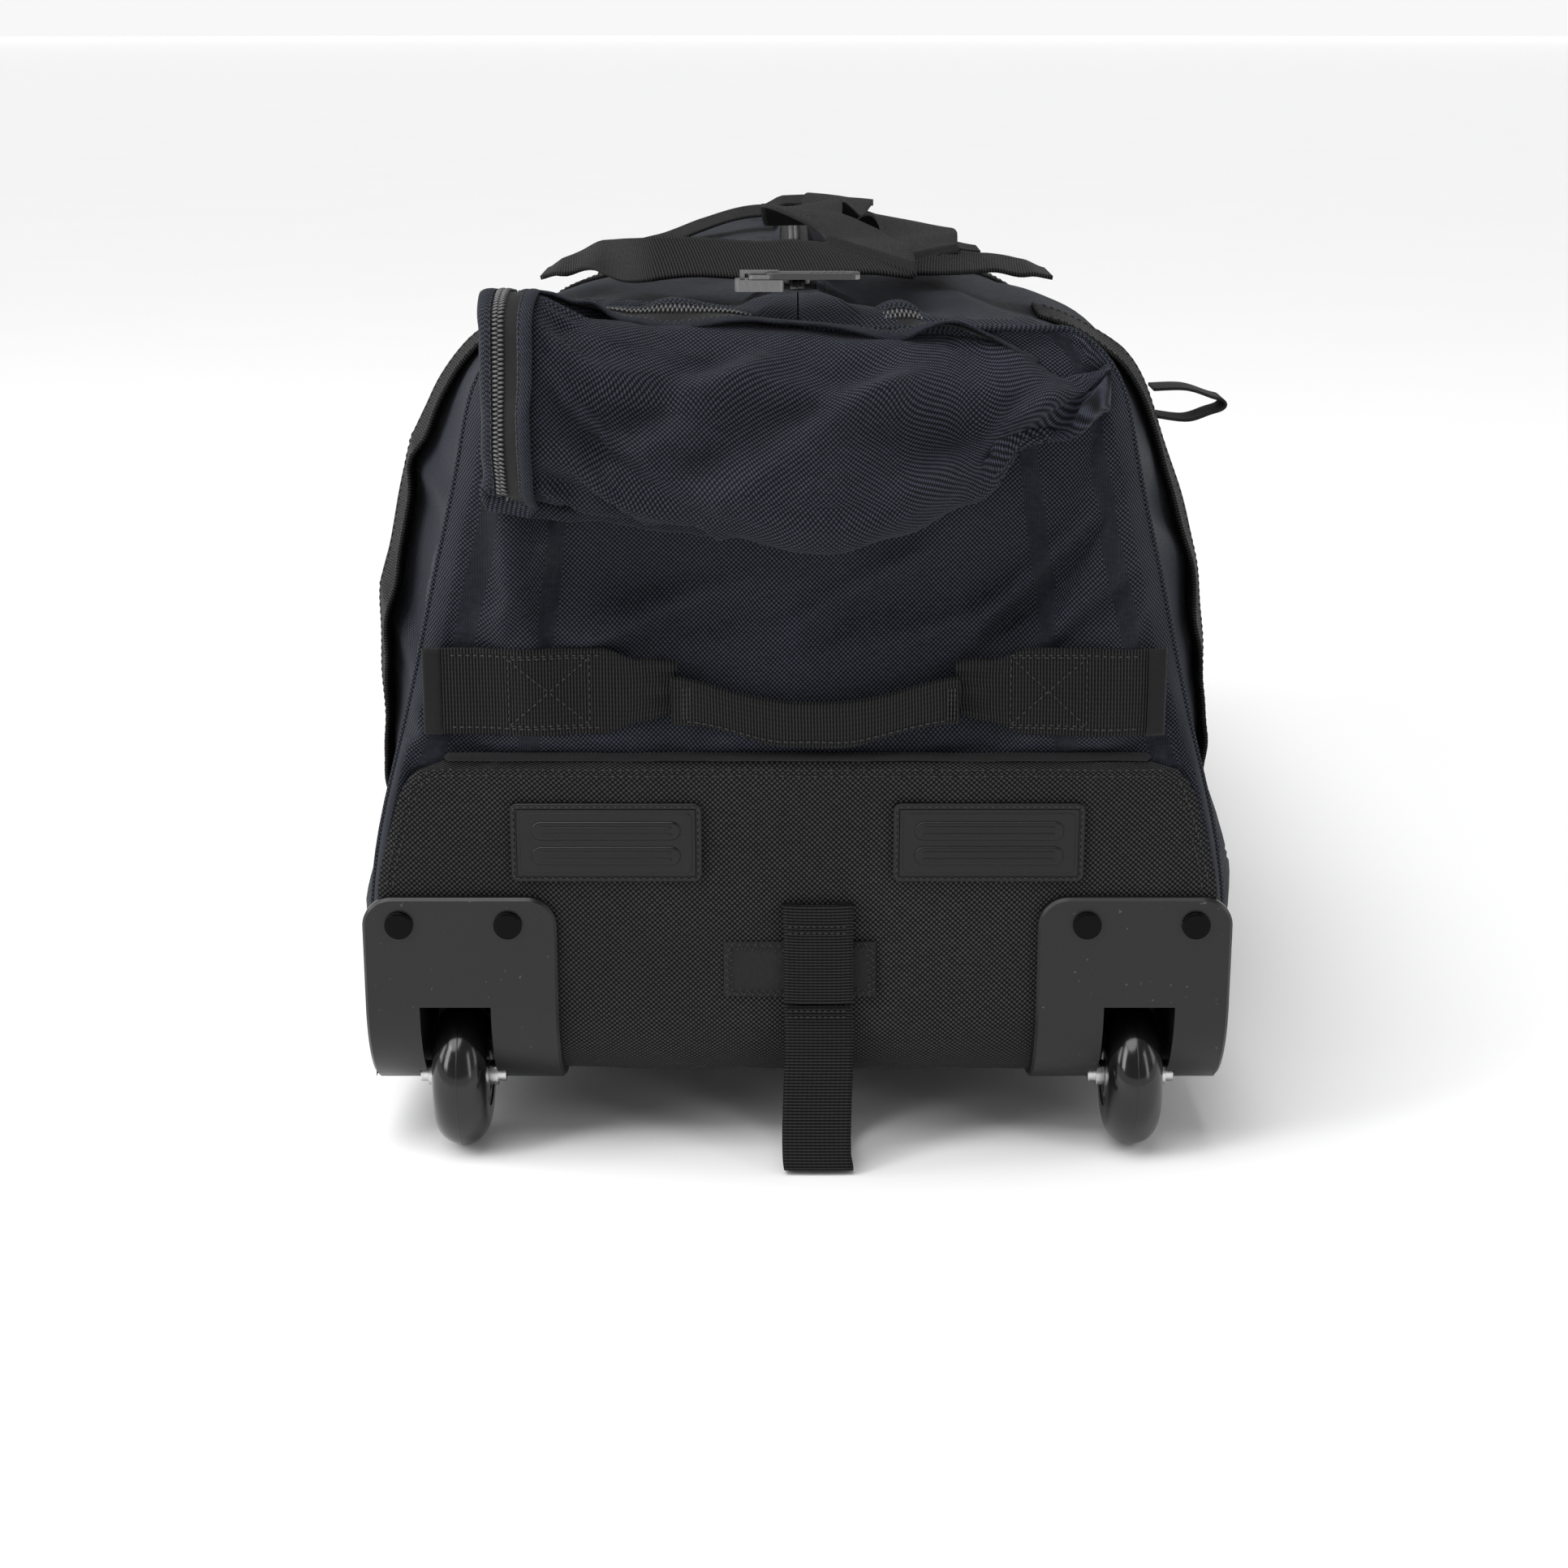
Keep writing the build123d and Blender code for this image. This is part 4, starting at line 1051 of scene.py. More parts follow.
def ribbon(name, line, width, up_of, material, body="bag", cols=6, thick=0.0, crown=0.0, inside=None,
           replaces=()):
    """A narrow sheet along a line; up_of(k) gives the direction that its face looks in."""
    count = len(line)

    def place(s, t):
        k = min(int(round(t * (count - 1))), count - 1)
        run = (line[min(k + 1, count - 1)] - line[max(k - 1, 0)]).normalized()
        up = up_of(k)
        side = run.cross(up).normalized()
        arch = crown * (1 - (2 * s - 1) ** 2)
        return line[k] + side * (s - 0.5) * width * mm + up * arch * mm
    return cloth(name, cols, count - 1, place, material, body=body, thick=thick, inside=inside,
                 replaces=replaces)


def pocket_up(k):
    """Outward direction of the pocket's skin along the zip."""
    run = (zip_line[min(k + 1, len(zip_line) - 1)] - zip_line[max(k - 1, 0)]).normalized()
    spot = zip_line[k]
    nearest = pocket_tree.find_nearest(spot)
    up = nearest[1] if nearest[1].y < 0.3 or nearest[1].z > 0 else -nearest[1]
    return (up - run * up.dot(run)).normalized()


zip_ups = [pocket_up(k) for k in range(len(zip_line))]
for _ in range(8):
    zip_ups = [(a + b + c).normalized() for a, b, c in
               zip([zip_ups[0]] + zip_ups[:-1], zip_ups, zip_ups[1:] + [zip_ups[-1]])]
ribbon("pocket_zip_cloth", [spot + up * 0.7 * mm for spot, up in zip(zip_line, zip_ups)], 19,
       lambda k: zip_ups[k], tape_cloth, cols=8, thick=0.7 * mm, crown=0.5, inside=at(0, 60, 320),
       replaces=("pocket_zip_tape",))


def coil_rows(name, line, ups, body, pitch, reach, replaces):
    """Two interlocking rows of coil turns along a line."""
    bm = bmesh.new()
    for row, shift in ((-1, 0.0), (1, 0.5)):
        for spot, run in walk(line, pitch * mm):
            k = min(range(0, len(line)), key=lambda n: (line[n] - spot).length_squared) if ups else 0
            up = ups[k] if ups else Vector((0, 0, 1))
            side = run.cross(up).normalized()
            centre = spot + run * shift * pitch * mm + side * row * 0.42 * reach * mm
            bmesh.ops.create_icosphere(bm, subdivisions=1, radius=1.0, matrix=bpy_matrix(
                side, run, up, centre, (reach * 0.62, pitch * 0.34, 0.72)))
    return finish_piece(name, bm, coil_plastic, body, replaces)


coil_rows("pocket_coil_turns", offset_line(zip_line, zip_ups, -2.6, 1.9), zip_ups, "bag", 1.9, 3.0,
          ("pocket_zip_coil",))

# %% [markdown]
# Beside the coil the navy cloth is turned under and stitched, which leaves a raised band along the zip.
# The band is another ribbon that is moved sideways from the zip's centre line.


# %% Zip bands, end tab and stitches
for word, aside in (("inner", 9.5), ("outer", -9.0)):
    centre = offset_line(zip_line, zip_ups, aside, 0.9)
    ribbon("pocket_zip_band_" + word, centre, 7.5, lambda k: zip_ups[k], navy_cloth, cols=6,
           thick=1.0 * mm, crown=1.3, inside=at(0, 60, 320))
    edge = offset_line(zip_line, zip_ups, aside - 2.4 * (1 if aside > 0 else -1), 1.75)
    stitches("pocket_zip_stitches_" + word, [edge], pitch=3.0, facing=(0, -1, 0.2))


def tab_place(s, t):
    """The folded tab over the zip's foot."""
    spot = zip_line[0]
    fold = 1.6 + 1.2 * math.sin(math.pi * t)
    return Vector((spot.x + (s - 0.5) * 15 * mm, spot.y - fold * mm, spot.z + (t * 14 - 10) * mm))


cloth("pocket_tab_cloth", 10, 10, tab_place, navy_cloth, inside=at(0, 60, 290), thick=1.4 * mm,
      replaces=("pocket_zip_tab",))
print("pocket zip", len(zip_line), "steps")


# %% [markdown]
# ## Moulded rubber pulls
# The pocket's slider carries a long rubber pull. It is a bar with rounded ends and a raised rim, and small
# ribs near its tip give grip. A cube scaled to a bar, bevelled at its upright edges and inset on its face
# gives that shape with real edges.


# %% Block helper and the pocket pull
def moulded_block(bm, low, high, corner, edge, facing="z", segments=5, insets=()):
    """A block between two corners in mm: upright edges rounded by corner, the facing rim by edge.

    insets are (width, depth) steps cut one inside the other into its face.
    """
    low, high = Vector(low), Vector(high)
    centre, size = (low + high) / 2, high - low
    block = bmesh.new()
    bmesh.ops.create_cube(block, size=1.0)
    axis = "xyz".index(facing[-1])
    sign = -1 if facing[0] == "-" else 1
    for vert in block.verts:
        vert.co = at(*[centre[k] + vert.co[k] * size[k] for k in range(3)])
    upright = [e for e in block.edges if abs((e.verts[0].co - e.verts[1].co).normalized()[axis]) > 0.9]
    bmesh.ops.bevel(block, geom=upright, offset=corner * mm, affect="EDGES", segments=segments, profile=0.5,
                    material=-1)
    bmesh.ops.recalc_face_normals(block, faces=block.faces[:])
    cap = max(block.faces, key=lambda face: face.normal[axis] * sign + face.calc_area())
    bmesh.ops.bevel(block, geom=list(cap.edges), offset=edge * mm, affect="EDGES", segments=3, profile=0.5,
                    material=-1)
    block.normal_update()
    cap = max(block.faces, key=lambda face: face.normal[axis] * sign + face.calc_area() * 1000)
    for width, depth in insets:
        bmesh.ops.inset_region(block, faces=[cap], thickness=width * mm, depth=depth * mm)
    bmesh.ops.recalc_face_normals(block, faces=block.faces[:])
    shape = bpy.data.meshes.new("block")
    block.to_mesh(shape)
    block.free()
    bm.from_mesh(shape)
    bpy.data.meshes.remove(shape)


def local(v):
    """A measured point in millimetres of the helper's kind."""
    return Vector((v.x / mm, (v.y - plate_y) / mm, v.z / mm))


pull_low, pull_high = (local(v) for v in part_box("pocket_pull"))
pull_bm = bmesh.new()
body_low = (pull_low.x + 7, pull_low.y - 0.6, pull_low.z)
body_high = (pull_high.x, pull_high.y + 0.6, pull_high.z + 0.9)
moulded_block(pull_bm, body_low, body_high, 4.0, 0.5, "z", 6, [(1.2, 0.0), (0.4, -0.4)])
for k in range(6):
    x = pull_high.x - 7 - 2.6 * k
    moulded_block(pull_bm, (x - 0.6, pull_low.y + 1.2, body_high[2] - 0.5),
                  (x + 0.6, pull_high.y - 1.2, body_high[2] + 0.25),
                  0.5, 0.2, "z", 2)
finish_piece("pocket_pull_grip", pull_bm, pull_rubber, "pocket_zip_pull", (), smooth=False)
dress("pocket_pull", slider_metal)

# %% [markdown]
# ## Grab handle
# The wheel end's handle is one piece of heavy ribbed webbing. Its ends lie flat on the panel and are sewn
# with a box and a cross. Towards the middle it is folded in half and so narrows sharply. Each end is a
# sheet that lies on the panel's finished surface, with its inner end gathered, and the grip is a folded
# sheet.


# %% Sewn ends of the grab handle
def smooth_rest(tree, x, z, span=7):
    """The panel's surface under webbing, which bridges its small creases."""
    total, count = 0.0, 0
    for dx in (-span, 0, span):
        for dz in (-span, 0, span):
            hit = cast(tree, at(x + dx, -60, z + dz), (0, 1, 0))
            if hit is not None:
                total += min(hit.y, at(0, 7.5, 0).y)
                count += 1
    return total / count if count else at(0, 6, 0).y


anchor_z = (local(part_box("grab_anchor_left")[0]).z + local(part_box("grab_anchor_left")[1]).z) / 2


def anchor_place(x_out, x_in):
    """s over the width from bottom to top, t from the outer end to the gathered inner end."""
    sign = 1 if x_in > x_out else -1

    def place(s, t):
        x = x_out + (x_in - x_out) * t
        left = abs(x_in - x)
        half = follow(left, [(0, 11.5), (14, 13.5), (32, 18.3), (60, 18.6), (200, 18.6)])
        rise = 2.0 * (1 - ease(left, 0, 26))
        across = 2 * s - 1
        z = anchor_z + rise + across * half + 0.5 * noise.noise(Vector((x / 16, s, 3.0 + sign)))
        y = smooth_rest(wheel_end_tree, x, anchor_z + across * 15)
        gather = 1 - ease(left, 2, 30)
        swell = gather * (3.0 * math.cos(across * 1.5) + 1.2 * math.cos(across * 7.5 + 0.6))
        y -= (2.1 + swell) * mm
        return Vector((x * mm, y, z * mm))
    return place


anchors = {}
for word, x_out, x_in in (("left", -158, -51), ("right", 155, 66)):
    anchors[word] = cloth("grab_end_" + word, 18, 60, anchor_place(x_out, x_in), webbing,
                          inside=at(0, 60, 210), thick=2.0 * mm, replaces=("grab_anchor_" + word,))


def binding_place(x_out, x_in):
    """The smooth binding over the webbing's cut end."""
    base = anchor_place(x_out, x_in)
    sign = 1 if x_in > x_out else -1

    def place(s, t):
        spot = base(s, (1 + 8.0 * t) / abs(x_in - x_out))
        spot.x -= sign * 1.6 * mm
        spot.y -= (0.75 - 0.5 * abs(2 * t - 1) ** 6) * mm
        return spot
    return place


for word, x_out, x_in in (("left", -158, -51), ("right", 155, 66)):
    cloth("grab_binding_" + word, 16, 8, binding_place(x_out, x_in), tape_cloth,
          inside=at(0, 60, 210), thick=0.9 * mm)


def box_lines(x0, x1, z0, z1):
    """A stitched box with a cross in it."""
    a, b, c, d = (at(x0, -3, z0), at(x1, -3, z0), at(x1, -3, z1), at(x0, -3, z1))
    return [[a, b, c, d, a], [a, c], [b, d]]


for word, x0, x1, edge0, edge1 in (("left", -122, -88, -147, -84), ("right", 90, 122, 86, 144)):
    rows = box_lines(x0, x1, anchor_z - 14.5, anchor_z + 14.5)
    rows += [[at(edge0, -3, anchor_z + k * 15.6), at(edge1, -3, anchor_z + k * 15.6)] for k in (-1, 1)]
    stitches("grab_stitches_" + word, rows, pitch=3.2, host=tree_of(anchors[word]), sink=0.05)

# %% [markdown]
# The grip is the same webbing folded along its length and sewn shut, so its section is a narrow loop with a
# round upper edge and two cut edges below. It sags between its ends, and both ends taper where they are
# pinched under the sewn parts.

# %% Grip
grip_low, grip_high = (local(v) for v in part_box("grab_grip"))
grip_mid = (grip_low.x + grip_high.x) / 2
grip_end_z = grip_high.z - 8.5
grip_mid_z = grip_low.z + 9.5
grip_y = (grip_low.y + grip_high.y) / 2 - 0.4


def grip_place(s, t):
    """s around the folded section from the back edge over the top to the front edge, t along the grip."""
    x = grip_low.x + (grip_high.x - grip_low.x) * t
    ends = min(t, 1 - t)
    sag = ease(abs(2 * t - 1), 0.15, 1.0)
    z_mid = grip_mid_z + (grip_end_z - grip_mid_z) * sag
    half = 9.6 + 0.8 * (1 - ease(ends, 0.0, 0.12)) + 0.25 * math.sin(t * 23)
    depth = 1.9 + 0.7 * math.sin(math.pi * t)
    turn = (s - 0.5) * 2
    if abs(turn) < 0.16:
        angle = turn / 0.16 * math.pi / 2
        z = half - depth + depth * math.cos(angle)
        y = -math.sin(angle) * depth
    else:
        down = (abs(turn) - 0.16) / 0.84
        z = half - depth - (2 * half - depth) * down
        y = -math.copysign(depth * (1 - 0.35 * down ** 3) + 0.5 * math.sin(math.pi * down), turn)
    z += (1.4 if turn > 0 else 0.0) * ease(abs(turn), 0.9, 1.0) * math.sin(t * 9) * 0.5
    lean = -1.2 * ease(ends, 0.0, 0.1)
    return at(x, grip_y + y + lean, z_mid + z)


cloth("grab_grip_webbing", 26, 90, grip_place, webbing, inside=at(grip_mid, grip_y + 0.5, 206),
             thick=1.3 * mm, body="grab", replaces=("grab_grip",))


def grip_line(down, t0, t1):
    """A line along the grip's front face, down from its folded edge."""
    return [grip_place(0.5 + 0.5 * down, t0 + (t1 - t0) * k / 40) + Vector((0, -0.1 * mm, 0))
            for k in range(41)]


stitches("grab_grip_stitches", [grip_line(0.9, 0.05, 0.95)], body="grab", pitch=3.2)
for word, x in (("left", grip_low.x + 5), ("right", grip_high.x - 5)):
    t = (x - grip_low.x) / (grip_high.x - grip_low.x)
    bar = [grip_place(0.5 + 0.5 * d, t) for d in (0.25, 0.4, 0.55, 0.7, 0.85)]
    stitches("grab_tack_" + word,
             [[spot + Vector((k * 1.4 * mm, -0.1 * mm, 0)) for spot in bar] for k in (0, 1, 2)],
             body="grab", pitch=2.0)

# %% [markdown]
# ## Piping and apron seam
# A thin piped edge closes the top of the base fabric. The piping is a cord wrapped in cloth, so it is a tube
# with slight swellings, and a row of stitches runs just below it and follows the rounded corners down.

# %% Piping and its stitches
pipe_low, pipe_high = (local(v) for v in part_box("end_piping"))


def pipe_place(s, t):
    """s round the tube, t along it."""
    x = pipe_low.x + (pipe_high.x - pipe_low.x) * t
    ends = min(t, 1 - t) * 300
    radius = 1.9 * math.sqrt(max(1 - (1 - min(ends / 2.2, 1.0)) ** 2, 0.01))
    radius += 0.15 * noise.noise(Vector((x / 6, 0, 5.0)))
    angle = 2 * math.pi * s
    wave = 0.5 * noise.noise(Vector((x / 30, 2.0, 0)))
    return at(x, (pipe_low.y + pipe_high.y) / 2 + radius * math.sin(angle),
              (pipe_low.z + pipe_high.z) / 2 + wave + radius * math.cos(angle))


cloth("piping_cloth", 12, 160, pipe_place, tape_cloth, inside=at(0, 3, 184),
      replaces=("end_piping",))
base_tree = tree_of(base_cover)


def apron_line(inset):
    """A line inside the apron's edge, from the left side over the top to the right side."""
    spots = []
    for z in range(126, 164, 3):
        spots.append(at(-(follow(z, base_stations) - inset), 0, z))
    radius = 18 - inset
    for k in range(0, 10):
        angle = math.pi / 2 * k / 9
        x = follow(170, base_stations) - 18 + radius * math.cos(angle)
        spots.append(at(-x, 0, 164 + radius * math.sin(angle)))
    right = [Vector((-spot.x, spot.y, spot.z)) for spot in reversed(spots)]
    return spots + right


stitches("apron_stitches", [apron_line(3.6), apron_line(6.4)], pitch=3.6, host=base_tree, sink=0.05)

# %% [markdown]
# ## Skid pads
# Two moulded rubber pads take the knocks when the bag stands on this end. Each has a rim, a sunken seam for
# the stitches, a raised panel and two long ribs with fine raised lines. They are bevelled blocks, one on
# another, and the seam is a pair of insets pushed into the lowest one. Insets stay narrower than its corners
# are round, because wider ones fold over there.

# %% Skid pads
pad_rise = 2.4
panel_inset, rib_inset, line_inset, seam_inset = 4.2, 9, 13, 1.6
rib_offset, rib_half, line_offset, line_half = 5.6, 4.2, 1.5, 0.55

for word in ("left", "right"):
    pad_low, pad_high = (local(v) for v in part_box("skid_pad_" + word))
    pad_bm = bmesh.new()
    floor_y = pad_high.y
    top_y = floor_y - pad_rise
    steps = [(0.8, 0.0), (0.35, -0.5), (0.6, 0.0), (0.35, 0.5)]
    moulded_block(pad_bm, (pad_low.x, top_y, pad_low.z), (pad_high.x, floor_y, pad_high.z), 3.2, 0.7, "-y",
                  6, steps)
    moulded_block(pad_bm, (pad_low.x + panel_inset, top_y - 0.45, pad_low.z + panel_inset),
                  (pad_high.x - panel_inset, top_y + 0.6, pad_high.z - panel_inset), 2.2, 0.4, "-y", 5)
    for z_mid in ((pad_low.z + pad_high.z) / 2 - rib_offset, (pad_low.z + pad_high.z) / 2 + rib_offset):
        moulded_block(pad_bm, (pad_low.x + rib_inset, pad_low.y + 0.5, z_mid - rib_half),
                      (pad_high.x - rib_inset, top_y + 0.9, z_mid + rib_half), 4.1, 0.9, "-y", 8)
        for dz in (-line_offset, line_offset):
            moulded_block(pad_bm, (pad_low.x + line_inset, pad_low.y, z_mid + dz - line_half),
                          (pad_high.x - line_inset, pad_low.y + 0.9, z_mid + dz + line_half), 0.5, 0.25,
                          "-y", 3)
    finish_piece("skid_pad_rubber_" + word, pad_bm, pad_rubber, "bag", ("skid_pad_" + word,),
                 smooth=False)
    left_x, right_x = pad_low.x + seam_inset, pad_high.x - seam_inset
    lower_z, upper_z = pad_low.z + seam_inset, pad_high.z - seam_inset
    seam = [at(x, top_y + 0.2, z) for x, z in
            ((left_x, lower_z), (right_x, lower_z), (right_x, upper_z), (left_x, upper_z))]
    stitches("skid_stitches_" + word, [seam + seam[:1]], pitch=3.0, size=(1.1, 0.36, 0.3))
print("skid pads done")

# %% [markdown]
# ## Patch and closing strap
# A hook-and-loop patch sits under the strap. It is a thin pad with a fuzzy face, held by a zigzag stitch. The
# strap is ribbed webbing: its upper part is doubled and hemmed, and below that it peels away, bellies out to
# the floor and runs back under the bag. One ribbon follows each part.

# %% Patch
patch_low, patch_high = (local(v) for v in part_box("hook_patch"))


def patch_place(s, t):
    """s across, t upwards; the fuzz rounds the edge."""
    edge = min(s, 1 - s, t * 0.4, (1 - t) * 0.4)
    puff = 0.9 * ease(edge, 0.0, 0.05) + 0.35 * noise.noise(Vector((s * 60, t * 24, 9.0)))
    return at(patch_low.x + (patch_high.x - patch_low.x) * s, patch_high.y - 0.4 - puff,
              patch_low.z + (patch_high.z - patch_low.z) * t)


cloth("patch_cloth", 110, 44, patch_place, patch_fuzz, inside=at(0, 60, 90), thick=0.7 * mm,
      replaces=("hook_patch",))
zigzag = []
for z in (patch_low.z + 2.2, patch_high.z - 2.2):
    zigzag.append([at(patch_low.x + 2 + 1.7 * k, patch_low.y - 0.5, z + (1.5 if k % 2 else -1.5))
                   for k in range(37)])
for x in (patch_low.x + 2.2, patch_high.x - 2.2):
    zigzag.append([at(x + (1.5 if k % 2 else -1.5), patch_low.y - 0.5, patch_low.z + 2 + 1.7 * k)
                   for k in range(13)])
stitches("patch_stitches", zigzag, pitch=2.26, size=(1.1, 0.3, 0.26))


# %% Closing strap
def smooth_line(points, per=14):
    """A smooth line of many points through a few."""
    line = []
    for k in range(len(points) - 1):
        p0, p1 = points[max(k - 1, 0)], points[k]
        p2, p3 = points[k + 1], points[min(k + 2, len(points) - 1)]
        for n in range(per):
            t = n / per
            line.append(0.5 * (2 * p1 + (p2 - p0) * t + (2 * p0 - 5 * p1 + 4 * p2 - p3) * t * t
                               + (3 * p1 - p0 - 3 * p2 + p3) * t ** 3))
    return line + [points[-1]]


def strap_ribbon(name, points, x, width, thick, body, replaces, wave=0.0, per=14):
    """Webbing that follows a line of (y, z) points, and may wander and twist a little."""
    line = smooth_line([at(x, y, z) for y, z in points], per)
    count = len(line)

    def place(s, t):
        k = min(int(round(t * (count - 1))), count - 1)
        aside = (s - 0.5) * width
        wander = wave * math.sin(k * 0.09)
        ahead = (line[min(k + 1, count - 1)] - line[max(k - 1, 0)]).normalized()
        normal = Vector((0, -ahead.z, ahead.y))
        cup = 0.5 * (2 * s - 1) ** 2 * math.sin(k * 0.11) * wave
        return line[k] + Vector(((aside + wander) * mm, 0, 0)) + normal * cup * mm
    return cloth(name, 16, count - 1, place, webbing, thick=thick, body=body, replaces=replaces,
                 inside=at(x, 40, 40))


strap_low, strap_high = (local(v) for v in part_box("closing_strap"))
strap_x = (strap_low.x + strap_high.x) / 2
strap_width = strap_high.x - strap_low.x
strap_points = [(0.9, 72.3), (0.4, 62), (-1.6, 50), (-6.4, 36), (-11.8, 21), (-16.0, 9), (-16.9, 3.4),
                (-14.6, 1.6),
                (-9, 1.0), (2, 1.0), (12, 1.2), (24, 4), (38, 11.6), (52, 20.4), (66, 25.4), (84, 26.6),
                (107, 26.6)]
strap_ribbon("closing_strap_webbing", strap_points, strap_x, strap_width, 1.5 * mm, "bag",
                       ("closing_strap",), 0.6, 12)
tip_low, tip_high = (local(v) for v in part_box("closing_strap_end"))
tip_points = [(tip_high.y - 0.4, tip_low.z + 1), (tip_high.y - 0.4, tip_high.z - 5),
              (tip_high.y - 0.8, tip_high.z - 1.2),
              (tip_high.y - 1.6, tip_high.z - 0.3), (tip_low.y + 1.0, tip_high.z - 1.2),
              (tip_low.y + 0.4, tip_high.z - 5),
              (tip_low.y + 0.1, tip_high.z - 14), (tip_low.y + 0.2, tip_high.z - 30),
              (tip_low.y + 0.2, tip_low.z + 0.4)]
strap_ribbon("closing_strap_tip", tip_points, strap_x, strap_width, 1.4 * mm, "strap_end",
                   ("closing_strap_end",), 0.3, 12)
hem_rows = [[at(strap_x - 13.5, tip_low.y - 0.15, tip_high.z - drop),
             at(strap_x + 13.5, tip_low.y - 0.15, tip_high.z - drop)] for drop in (9.5, 12.5)]
stitches("closing_strap_stitches", hem_rows, body="strap_end", pitch=2.6, size=(1.0, 0.34, 0.34))
tack_rows = [[at(strap_x - 13.5, 0.0, z), at(strap_x + 13.5, 0.0, z)] for z in (70.4, 67.6)]
stitches("closing_strap_tack", tack_rows, pitch=2.6, size=(1.0, 0.34, 0.34))

# %% [markdown]
# ## Carry handle bands
# Two webbing bands start at the base seam on each side, climb over the shoulder and end in the free loops.
# Each band is placed by rays on the finished side panel, so it bridges creases the way stiff webbing does.


# %% Bands on the sides
band_low, band_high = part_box("carry_legs_left")
leg_width = 45 * mm
leg_starts = (band_low.y, band_high.y - leg_width)
hinge_x = 118 * mm
side_trees = {word: tree_of(panel) for word, panel in sides.items()}


def leg_place(word, side, y0):
    """s across the band along the bag, t from the seam up to the loop."""
    low_angle = math.atan2(94 * mm - axis_z, 0.203)
    high_angle = math.atan2(367 * mm - axis_z, hinge_x + 1.5 * mm)

    def radius(y, angle):
        out = Vector((side * math.cos(angle), 0, math.sin(angle)))
        hit = cast(side_trees[word], Vector((0, y, axis_z)) + out * 0.5, -out)
        if hit is None:
            hit = cast(dummy, Vector((0, y, axis_z)) + out * 0.5, -out, Vector((0, y, axis_z)) + out * 0.2)
        return (hit - Vector((0, y, axis_z))).length

    def place(s, t):
        angle = low_angle + (high_angle - low_angle) * t
        y = y0 + leg_width * s
        step = 0.035
        reach = max(sum(radius(y, angle + k * step) for k in (-1, 0, 1)) / 3,
                    sum(radius(y0 + leg_width * (0.5 + k * 0.4), angle) for k in (-1, 0, 1)) / 3 - 0.8 * mm,
                    radius(y, angle) - 0.4 * mm)
        out = Vector((side * math.cos(angle), 0, math.sin(angle)))
        return Vector((0, y, axis_z)) + out * (reach + 2.2 * mm)
    return place


for word, side in (("left", -1), ("right", 1)):
    for place_word, y0 in zip(("front", "back"), leg_starts):
        name = "carry_band_" + word + "_" + place_word
        place = leg_place(word, side, y0)
        cloth(name, 16, 120, place, webbing, inside=Vector((0, 0, axis_z)), thick=1.9 * mm,
              replaces=("carry_legs_" + word,) if place_word == "front" else ())
        rows = [[place(s, t / 60) for t in range(1, 60)] for s in (0.07, 0.93)]
        rows += [[place(0.07 + 0.86 * k / 12, t) for k in range(13)] for t in (0.02, 0.30)]
        out = 0.1 * mm
        stitches(name + "_stitches", [[spot + Vector((side * out, 0, out)) for spot in row] for row in rows],
                 pitch=3.6, facing=(side * 0.9, 0, 0.4))
print("carry bands done")

# %% [markdown]
# ## Carry loops
# Above the shoulders the webbing is free. Webbing can't bend sideways in its own plane, so when a loop lies
# down it folds over on itself at its corners. The place function walks along the loop: over the shoulder,
# diagonally folded, along the bag in low arches, folded again and back down to the second band. The loops
# are left without a body.


# %% Carry loops
def loop_place(side, reach, rises, back_rises, arches, drifts, tilts, sways):
    """s across the webbing, t along one carry loop; reach is how far it lies over the middle, in mm.

    Over the first run it climbs by rises, drifts along the bag and tilts; then it sways and arches
    along the bag.
    """
    y_front = (leg_starts[0] + leg_width / 2 - plate_y) / mm
    y_back = (leg_starts[1] + leg_width / 2 - plate_y) / mm
    half = 19.0
    y_turn = y_front + drifts[-1][1]
    along_run = y_back - y_turn
    total = 2 * reach + along_run

    def place(s, t):
        walked = total * t
        aside = (2 * s - 1) * half
        if walked < reach or walked > total - reach:
            front = walked < reach
            out = walked if front else total - walked
            skew = ease(out, reach - 55, reach)
            reached = max(out - aside * skew, 0.6)
            wide = 1 + 0.16 * (1 - ease(out, 0, 30))
            tilt = math.radians(follow(reached, tilts)) * (1 if front else -0.3)
            drift = follow(reached, drifts) if front else 0.0
            if not front:
                aside, wide = -aside, wide
            y = (y_front if front else y_back) + drift + aside * wide * math.cos(tilt)
            z = (follow(reached, rises if front else back_rises)
                 + aside * math.sin(tilt) * (1 if front else -1))
            z += 0.6 * math.sin(out * 0.11)
            return at(side * (118 - reached), y, z)
        run = (walked - reach) / along_run
        near = min(run, 1 - run) * along_run
        skew = 1 - ease(near, 0, 55)
        y = y_turn + (walked - reach) + (aside if run < 0.5 else -aside) * skew
        x_out = reach - aside - follow(run, sways)
        tilt = math.radians(tilts[-1][1]) * (1 if run < 0.5 else 0.3)
        z = follow(max(min(x_out, reach), 0), rises) + follow(run, arches)
        z += 3.0 * ease(near, 0, 10) + aside * math.sin(tilt) * skew * (1 if run < 0.5 else -1)
        z += 3.0 * (aside / half) * math.sin(run * 9.0) * ease(near, 10, 90)
        return at(side * (118 - x_out), y, z)
    return place


